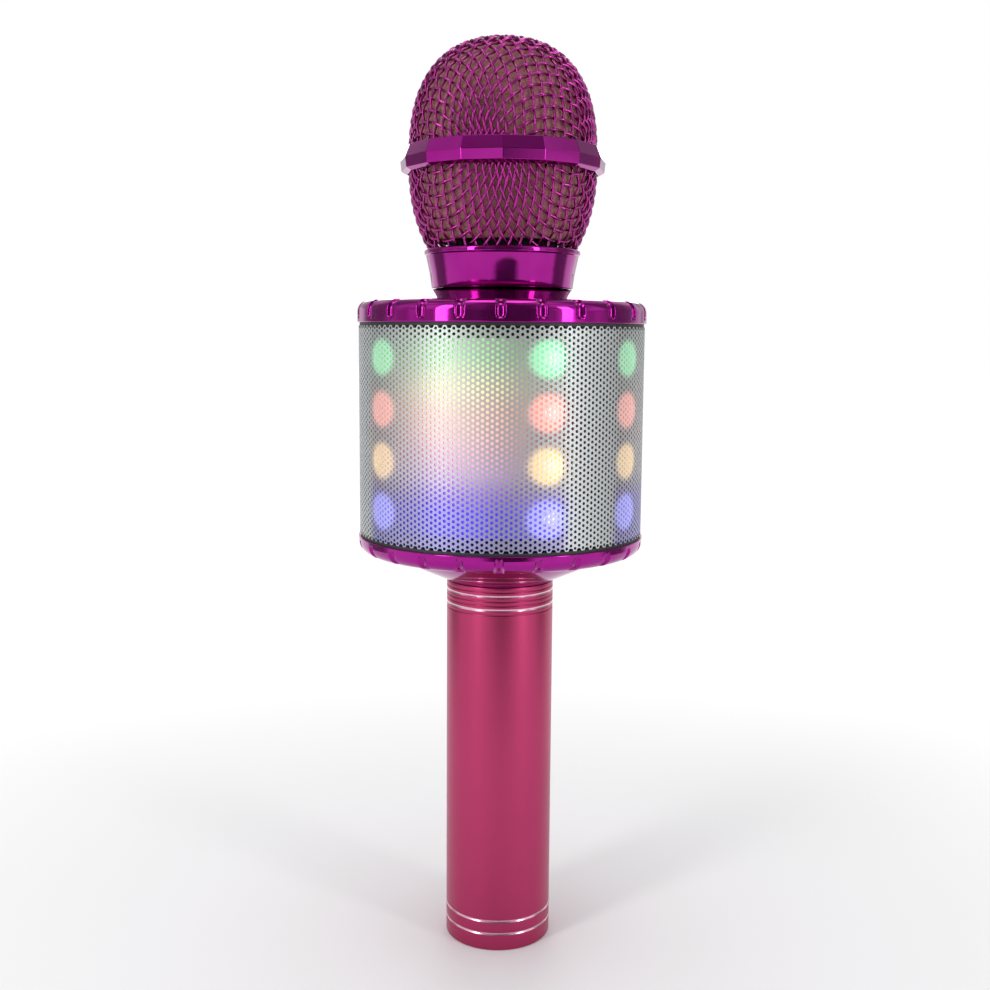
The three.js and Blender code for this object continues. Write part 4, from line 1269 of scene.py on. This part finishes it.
def panel_bezel():
    half = math.radians(49)
    inner_half = math.radians(40) + 0.3 * MM / BEZEL_FRONT
    face_low, face_high = low("panel_face").z, high("panel_face").z
    outer = rectangle(2 * half * BEZEL_FRONT, low("panel_bezel").z, high("panel_bezel").z, 0.8 * MM)
    inner = rectangle(2 * inner_half * BEZEL_FRONT, face_low - 0.3 * MM, face_high + 0.3 * MM, 0.8 * MM)
    section = [(0, -2.0 * MM), (0, -0.5 * MM), (0.03, -0.15 * MM), (0.10, 0.0), (0.72, 0.0),
               (0.86, -0.2 * MM), (0.96, -0.7 * MM), (1, -1.1 * MM), (1, -2.0 * MM)]
    made = round_the_barrel(ring_between("bezel", outer, inner, section), BEZEL_FRONT)
    return settle(smooth(made, 35), "barrel", "plating", ["panel_bezel"])


def curved_plate(name, inner, outer, half, low_end, high_end, columns):
    """A plate bent round the barrel on the panel's side."""
    turns = [-half + 2 * half * k / columns for k in range(columns + 1)]
    wall = [(outer * math.sin(a), outer * math.cos(a)) for a in turns]
    wall += [(inner * math.sin(a), inner * math.cos(a)) for a in reversed(turns)]
    count = len(wall)
    points = [(x, y, z) for z in (low_end, high_end) for x, y in wall]
    faces = [(k, (k + 1) % count, count + (k + 1) % count, count + k) for k in range(count)]
    faces += [tuple(b + k if k <= columns else b + k for k in (i, i + 1, count - 2 - i, count - 1 - i))
              for b in (0, count) for i in range(columns)]
    made = new_piece(name, points, faces)
    work = bmesh.new()
    work.from_mesh(made.data)
    bmesh.ops.recalc_face_normals(work, faces=work.faces)
    work.to_mesh(made.data)
    work.free()
    face_outwards(made.data)
    return made


def centre(node):
    return (low(node) + high(node)) / 2


BUTTONS = ("power", "play", "record", "previous", "next")
SLIDERS = ("volume", "echo")
BUTTON_FLANGE = 0.8 * MM
SOCKETS = ("charging_socket", "card_socket", "audio_socket")


def button_radius(use):
    return (high(f"{use}_button").x - low(f"{use}_button").x) / 2 - BUTTON_FLANGE


def panel_face():
    """The glossy face with its holes for buttons, sliders and sockets."""
    inner = FACE_FRONT - 1.8 * MM
    face = curved_plate("panel", inner, FACE_FRONT, math.radians(40), low("panel_face").z,
                        high("panel_face").z, 60)
    front = FACE_FRONT + 1 * MM
    cutters = []
    for use in BUTTONS:
        where = centre(f"{use}_button")
        hole = turned("hole", [(0, 0), (button_radius(use) + 0.3 * MM, 0),
                               (button_radius(use) + 0.3 * MM, 20 * MM), (0, 20 * MM)], even(40))
        cutters.append(along_y(hole, where.x, front - 20 * MM, where.z))
    for use in SLIDERS:
        where = centre(f"{use}_knob")
        cutters.append(block("slot", (where.x - 1.2 * MM, front - 20 * MM, where.z - 10.8 * MM),
                             (where.x + 1.2 * MM, front, where.z + 10.8 * MM)))
    for node in SOCKETS[:2]:
        a, b, gap = low(node), high(node), 0.3 * MM
        cutters.append(block("mouth", (a.x - gap, front - 20 * MM, a.z - gap),
                             (b.x + gap, front, b.z + gap)))
    jack = centre("audio_socket")
    reach = 3.3 * MM
    hole = turned("hole", [(0, 0), (reach, 0), (reach, 20 * MM), (0, 20 * MM)], even(40))
    cutters.append(along_y(hole, jack.x, front - 20 * MM, jack.z))
    for cutter in cutters:
        carve(face, cutter)
    return settle(smooth(face, 20), "barrel", "gloss", ["panel_face"])


def push_button(use):
    """A dished button with a rounded edge and the flange that keeps it in."""
    radius = button_radius(use)
    node = f"{use}_button"
    where = centre(node)
    height = high(node).y - low(node).y
    flange = 0.9 * MM
    outline = [(0, 0)] + rounded([
        (radius + BUTTON_FLANGE, 0, 0.1 * MM),
        (radius + BUTTON_FLANGE, flange, 0.2 * MM),
        (radius, flange, 0.1 * MM),
        (radius, height, 0.5 * MM),
        (radius * 0.72, height - 0.12 * MM, 0.6 * MM),
    ], 5) + [(0, height - 0.22 * MM)]
    made = along_y(smooth(turned(f"{use}_key", outline, even(64))), where.x, low(node).y, where.z)
    settle(made, f"{use}_button", "silver", [node])
    return where, radius, high(node).y - 0.2 * MM


def symbol(name, shapes, where, front, body, finish_name="dark_mark"):
    """Flat printed shapes on a panel part, as thin solids. Each shape is a loop of (x, z)."""
    points, faces = [], []
    for shape in shapes:
        count, start = len(shape), len(points)
        for depth in (front - 0.05 * MM, front + 0.06 * MM):
            points += [(where.x - x, depth, where.z + z) for x, z in shape]
        faces += [(start + k, start + (k + 1) % count, start + count + (k + 1) % count,
                   start + count + k) for k in range(count)]
        faces.append(tuple(start + k for k in range(count)))
        faces.append(tuple(start + count + k for k in reversed(range(count))))
    made = new_piece(name, points, faces)
    work = bmesh.new()
    work.from_mesh(made.data)
    bmesh.ops.recalc_face_normals(work, faces=work.faces)
    work.to_mesh(made.data)
    work.free()
    return settle(made, body, finish_name)


def triangle(x, size, way=1):
    return [(x + way * size * 0.8, 0), (x - way * size * 0.6, size), (x - way * size * 0.6, -size)]


def bar(x, z, width, height):
    return [(x - width / 2, z - height / 2), (x + width / 2, z - height / 2),
            (x + width / 2, z + height / 2), (x - width / 2, z + height / 2)]


def disc(x, z, radius, count=24):
    return [(x + radius * math.cos(a), z + radius * math.sin(a)) for a in even(count)]


def broken_ring(radius, width, opening):
    """A ring with a gap at its top."""
    turns = [math.pi / 2 + opening + (2 * math.pi - 2 * opening) * k / 24 for k in range(25)]
    outer = [(radius * math.cos(a), radius * math.sin(a)) for a in turns]
    inner = [((radius - width) * math.cos(a), (radius - width) * math.sin(a)) for a in reversed(turns)]
    return outer + inner


def button_symbols():
    unit = 1 * MM
    return {
        "power": [broken_ring(1.5 * unit, 0.35 * unit, 0.6), bar(0, 1.2 * unit, 0.35 * unit, 1.3 * unit)],
        "play": [triangle(-0.9 * unit, 1.2 * unit), bar(0.9 * unit, 0, 0.45 * unit, 2.4 * unit),
                 bar(1.8 * unit, 0, 0.45 * unit, 2.4 * unit)],
        "record": [disc(0, 0, 1.1 * unit)],
        "previous": [triangle(0.7 * unit, 0.9 * unit, -1), bar(-0.6 * unit, 0, 0.35 * unit, 1.8 * unit)],
        "next": [triangle(-0.7 * unit, 0.9 * unit), bar(0.6 * unit, 0, 0.35 * unit, 1.8 * unit)],
    }


def slider_knob(use):
    """A knob with grip ridges across it, on its stem."""
    node = f"{use}_knob"
    a, b = low(node), high(node)
    seat = b.y - 2.5 * MM
    ridges = 5
    top = []
    span = (b.z - a.z) - 1.2 * MM
    for k in range(ridges):
        z = a.z + 0.6 * MM + span * k / ridges
        top += [(b.y - 0.45 * MM, z), (b.y, z + span * 0.3 / ridges), (b.y, z + span * 0.7 / ridges)]
    side = [(seat, a.z), (b.y - 0.6 * MM, a.z), *top, (b.y - 0.45 * MM, b.z - 0.6 * MM),
            (b.y - 0.6 * MM, b.z), (seat, b.z)]
    count = len(side)
    points = [(x, y, z) for x in (a.x, b.x) for y, z in side]
    faces = [(k, (k + 1) % count, count + (k + 1) % count, count + k) for k in range(count)]
    faces += [tuple(range(count)), tuple(count + k for k in reversed(range(count)))]
    made = new_piece(f"{use}_grip", points, faces)
    work = bmesh.new()
    work.from_mesh(made.data)
    bmesh.ops.recalc_face_normals(work, faces=work.faces)
    work.to_mesh(made.data)
    work.free()
    soften(made, 0.18 * MM, 2, 30)
    settle(made, node, "silver")
    middle = (a + b) / 2
    stem = block(f"{use}_stem", (middle.x - 0.8 * MM, a.y, middle.z - 1.5 * MM),
                 (middle.x + 0.8 * MM, seat - 0.02 * MM, middle.z + 1.5 * MM))
    settle(soften(stem, 0.15 * MM, 2, 30), node, "black", [node])


def scale_marks():
    """A row of short lines beside each slider."""
    marks = 9
    unit = block("mark_shape", (-0.7 * MM, -0.05 * MM, -0.12 * MM), (0.7 * MM, 0.05 * MM, 0.12 * MM))
    points = []
    for use in SLIDERS:
        where = centre(f"{use}_knob")
        x = where.x - math.copysign(3.6 * MM, where.x)
        y = math.sqrt(FACE_FRONT ** 2 - x ** 2)
        points += [(x, y, where.z + (k / (marks - 1) - 0.5) * 18 * MM) for k in range(marks)]
    made = grow(new_piece("slider_marks", points, []), copies_tree(), {
        "Shape": unit, "Material": FINISHES["mark"]})
    bpy.data.objects.remove(unit)
    return settle(made, "barrel", None)


class BuildPanel(bpy.types.Operator):
    """Make the control panel: bezel, face, buttons, sliders and their marks"""

    bl_idname = "microphone.build_panel"
    bl_label = "Control Panel"

    def execute(self, context):
        panel_bezel()
        panel_face()
        symbols = button_symbols()
        for use in BUTTONS:
            where, radius, front = push_button(use)
            symbol(f"{use}_symbol", symbols[use], where, front, f"{use}_button")
        for use in SLIDERS:
            slider_knob(use)
        scale_marks()
        return {"FINISHED"}


# ------------------------------------------------------------------ inner parts
INNER_FINISHES = {
    "lit": ["light_reflector", "center_lens", "led_strip_center", "led_strip_back_left",
            "led_strip_back_right", "led_strip_side_left", "led_strip_side_right"],
    "black": ["inner_frame", "speaker_baffle", "capsule_holder", "audio_socket", "power_switch",
              "play_switch", "record_switch", "previous_switch", "next_switch"],
    "zinc": ["speaker_basket", "board_screw_left", "board_screw_right", "volume_slide_pot",
             "echo_slide_pot", "charging_socket", "card_socket", "microphone_capsule"],
    "board": ["battery_board", "control_board"],
    "ferrite": ["speaker_magnet"],
    "paper": ["speaker_cone"],
    "rubber": ["speaker_surround", "capsule_mount"],
    "sleeve": ["battery_cell"],
    "pad": ["battery_pad_lower", "battery_pad_upper"],
    "lead": ["battery_lead", "speaker_lead", "microphone_lead"],
}


class FinishInnerParts(bpy.types.Operator):
    """Give the parts inside the barrel, handle and head their finishes"""

    bl_idname = "microphone.finish_inner_parts"
    bl_label = "Inner Parts"

    def execute(self, context):
        for name, nodes in INNER_FINISHES.items():
            for node in nodes:
                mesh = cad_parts[node].data
                mesh.materials.clear()
                mesh.materials.append(FINISHES[name])
        return {"FINISHED"}


# ------------------------------------------------------------------ stage
CAMERA_TURN = math.radians(17.5)
CAMERA_DISTANCE = 339.2 * MM
CAMERA_HEIGHT = 171.4 * MM
CAMERA_PITCH = math.radians(7.44)
CAMERA_ROLL = math.radians(0.42)
CAMERA_LENS = 44.55


def spot(turn, distance, height):
    """A point round the microphone, its turn counted from straight in front of the camera."""
    angle = CAMERA_TURN + math.radians(turn)
    return Vector((distance * math.sin(angle), -distance * math.cos(angle), height))


def panel_light(name, where, aim, size, power, tint=(1, 1, 1)):
    data = bpy.data.lights.new(name, "AREA")
    data.shape = "RECTANGLE"
    data.size, data.size_y = size
    data.energy = power
    data.color = tint
    made = bpy.data.objects.new(name, data)
    made.location = where
    made.rotation_euler = (aim - where).to_track_quat("-Z", "Y").to_euler()
    bpy.context.scene.collection.objects.link(made)
    return made


def card_finish(name, across, width, tone):
    """Matt card that fades out towards its upright edges."""
    made = bpy.data.materials.new(name)
    made.use_nodes = True
    made.node_tree.nodes.clear()
    build = Build(made.node_tree)
    place = build.node("ShaderNodeTexCoord", output=3)
    off = build.math("ABSOLUTE", build.vector("DOT_PRODUCT", place, tuple(across), output=1))
    shade = build.mix(build.noise(place, 5.0), (tone,) * 3, (tone * 0.75,) * 3)
    card = build.node("ShaderNodeBsdfPrincipled", None, {"Base Color": shade, "Roughness": 0.9})
    clear = build.node("ShaderNodeBsdfTransparent")
    fade = build.smooth(off, width * 0.22, width * 0.48)
    both = build.node("ShaderNodeMixShader", None, {0: fade, 1: card, 2: clear})
    build.node("ShaderNodeOutputMaterial", None, {"Surface": both})
    return made


def upright_card(name, turn, distance, width, tone):
    """A tall card beside the object, seen only in reflections."""
    middle = spot(turn, distance, 0.25)
    across = Vector((-middle.y, middle.x, 0)).normalized() * width / 2
    up = Vector((0, 0, 0.45))
    points = [middle - across - up * 0.55, middle + across - up * 0.55, middle + across + up,
              middle - across + up]
    mesh = bpy.data.meshes.new(name)
    mesh.from_pydata([tuple(p) for p in points], [], [(0, 1, 2, 3)])
    made = bpy.data.objects.new(name, mesh)
    bpy.context.scene.collection.objects.link(made)
    mesh.materials.append(card_finish(name, across.normalized(), width, tone))
    made.visible_camera = False
    made.visible_diffuse = False
    made.visible_shadow = False
    return made


def floor_finish(build, place):
    """Pale floor that turns into the white backdrop at a distance."""
    x, y, _ = build.parts(place)
    away = build.smooth((x * x + y * y) ** 0.5, 0.06, 0.34)
    camera_ray = build.node("ShaderNodeLightPath")
    seen = build.math("MAXIMUM", camera_ray, build.math(
        "MAXIMUM", build.also(camera_ray, "Is Glossy Ray"), build.also(camera_ray, "Is Transmission Ray")))
    backdrop = away * seen
    pale = build.mix(build.noise(place, 8.0), (0.92, 0.92, 0.92), (0.90, 0.90, 0.90))
    return {
        "Base Color": build.mix(backdrop, pale, (0, 0, 0)),
        "Emission Color": build.mix(backdrop, (0, 0, 0), (1, 1, 1)),
    }


def make_floor():
    """A wide pale floor."""
    mesh = bpy.data.meshes.new("floor")
    reach = 6.0
    mesh.from_pydata([(-reach, -reach, 0), (reach, -reach, 0), (reach, reach, 0), (-reach, reach, 0)],
                     [], [(0, 1, 2, 3)])
    made = bpy.data.objects.new("floor", mesh)
    bpy.context.scene.collection.objects.link(made)
    mesh.materials.append(finish("floor", floor_finish, **{"Roughness": 0.85, "Emission Strength": 1.0}))
    return made


def make_world():
    """White to the camera and in reflections, softer as a light."""
    world = bpy.data.worlds.new("studio")
    world.use_nodes = True
    world.node_tree.nodes.clear()
    build = Build(world.node_tree)
    camera_ray = build.node("ShaderNodeLightPath")
    glossy_ray = build.also(camera_ray, "Is Glossy Ray")
    clear_ray = build.also(camera_ray, "Is Transmission Ray")
    way = build.node("ShaderNodeTexCoord", output=3)
    x, y, _ = build.parts(way)
    facing = (x * math.sin(CAMERA_TURN) - y * math.cos(CAMERA_TURN)) / ((x * x + y * y) ** 0.5 + 0.001)
    bands = build.node("ShaderNodeValToRGB", {"stops": [
        (0.0, (0.95,) * 3), (0.12, (0.9,) * 3), (0.25, (0.5,) * 3), (0.40, (0.6,) * 3),
        (0.55, (1.0,) * 3), (0.82, (1.0,) * 3), (0.94, (0.4,) * 3), (1.0, (0.3,) * 3),
    ]}, {0: facing * 0.5 + 0.5})
    patches = build.between(build.smooth(build.noise(way, 2.6, 2.0), 0.38, 0.62), 0.5, 1.0)
    studio = build.mix(1.0, bands, build.joined(patches, patches, patches), "MULTIPLY")
    seen = build.math("MAXIMUM", camera_ray, clear_ray)
    soft = build.node("ShaderNodeBackground", None, {
        "Color": build.mix(glossy_ray, (0.62, 0.62, 0.63), studio), "Strength": 1.0})
    white = build.node("ShaderNodeBackground", None, {"Color": (1, 1, 1, 1), "Strength": 1.0})
    both = build.node("ShaderNodeMixShader", None, {0: seen, 1: soft, 2: white})
    build.node("ShaderNodeOutputWorld", None, {"Surface": both})
    bpy.context.scene.world = world


def make_camera():
    data = bpy.data.cameras.new("camera")
    data.lens = CAMERA_LENS
    data.sensor_width = 36
    data.shift_x = -0.0056
    data.clip_start = 0.01
    made = bpy.data.objects.new("camera", data)
    made.location = spot(0, CAMERA_DISTANCE, CAMERA_HEIGHT)
    ahead = Vector((-made.location.x, made.location.y * -1, 0)).normalized()
    down = Vector((0, 0, -1))
    gaze = ahead * math.cos(CAMERA_PITCH) + down * math.sin(CAMERA_PITCH)
    turn = gaze.to_track_quat("-Z", "Y").to_matrix().to_4x4()
    made.rotation_euler = (turn @ Matrix.Rotation(CAMERA_ROLL, 4, "Z")).to_euler()
    bpy.context.scene.collection.objects.link(made)
    bpy.context.scene.camera = made


class BuildStage(bpy.types.Operator):
    """Make the floor, the lights, the cards that show in the plating, and the camera"""

    bl_idname = "microphone.build_stage"
    bl_label = "Stage"

    def execute(self, context):
        make_camera()
        make_floor()
        make_world()
        aim = Vector((0, 0, 0.14))
        panel_light("key", spot(-46, 0.75, 0.42), aim, (0.14, 0.7), 2.0)
        panel_light("fill", spot(50, 0.80, 0.34), aim, (0.12, 0.6), 1.3)
        panel_light("top", Vector((0, 0, 0.95)), aim, (0.4, 0.4), 1.2)
        panel_light("back", spot(180, 0.9, 0.5), aim, (0.5, 0.4), 1.6)
        upright_card("card_front", 6, 0.47, 0.42, 0.16)
        upright_card("card_left", -112, 0.42, 0.30, 0.34)
        upright_card("card_right", 100, 0.42, 0.30, 0.30)
        settings = context.scene.view_settings
        settings.view_transform = "Standard"
        return {"FINISHED"}


class MicrophonePanel(bpy.types.Panel):
    """The microphone's pieces, in the order they are made"""

    bl_idname = "VIEW3D_PT_microphone"
    bl_label = "Karaoke Microphone"
    bl_space_type = "VIEW_3D"
    bl_region_type = "UI"
    bl_category = "Microphone"

    def draw(self, context):
        layout = self.layout
        for operator in OPERATORS:
            layout.operator(operator.bl_idname)
        for group in (context.scene.microphone_sizes, context.scene.microphone_colours):
            box = layout.box()
            for key in group.__annotations__:
                box.prop(group, key)


OPERATORS = (BuildHandle, BuildCaps, BuildGrille, BuildWovenHead, BuildFoam, BuildCollarAndBand,
             BuildPanel, FinishInnerParts, BuildStage)
CLASSES = (MicrophoneSizes, MicrophoneColours, *OPERATORS, MicrophonePanel)


def register():
    for kind in CLASSES:
        bpy.utils.register_class(kind)
    bpy.types.Scene.microphone_sizes = PointerProperty(type=MicrophoneSizes)
    bpy.types.Scene.microphone_colours = PointerProperty(type=MicrophoneColours)


def unregister():
    del bpy.types.Scene.microphone_colours
    del bpy.types.Scene.microphone_sizes
    for kind in reversed(CLASSES):
        bpy.utils.unregister_class(kind)


def main():
    """Builds every piece."""
    register()
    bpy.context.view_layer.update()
    FINISHES.update(make_finishes())
    for operator in OPERATORS:
        group, name = operator.bl_idname.split(".")
        getattr(getattr(bpy.ops, group), name)()


if __name__ == "__main__":
    main()
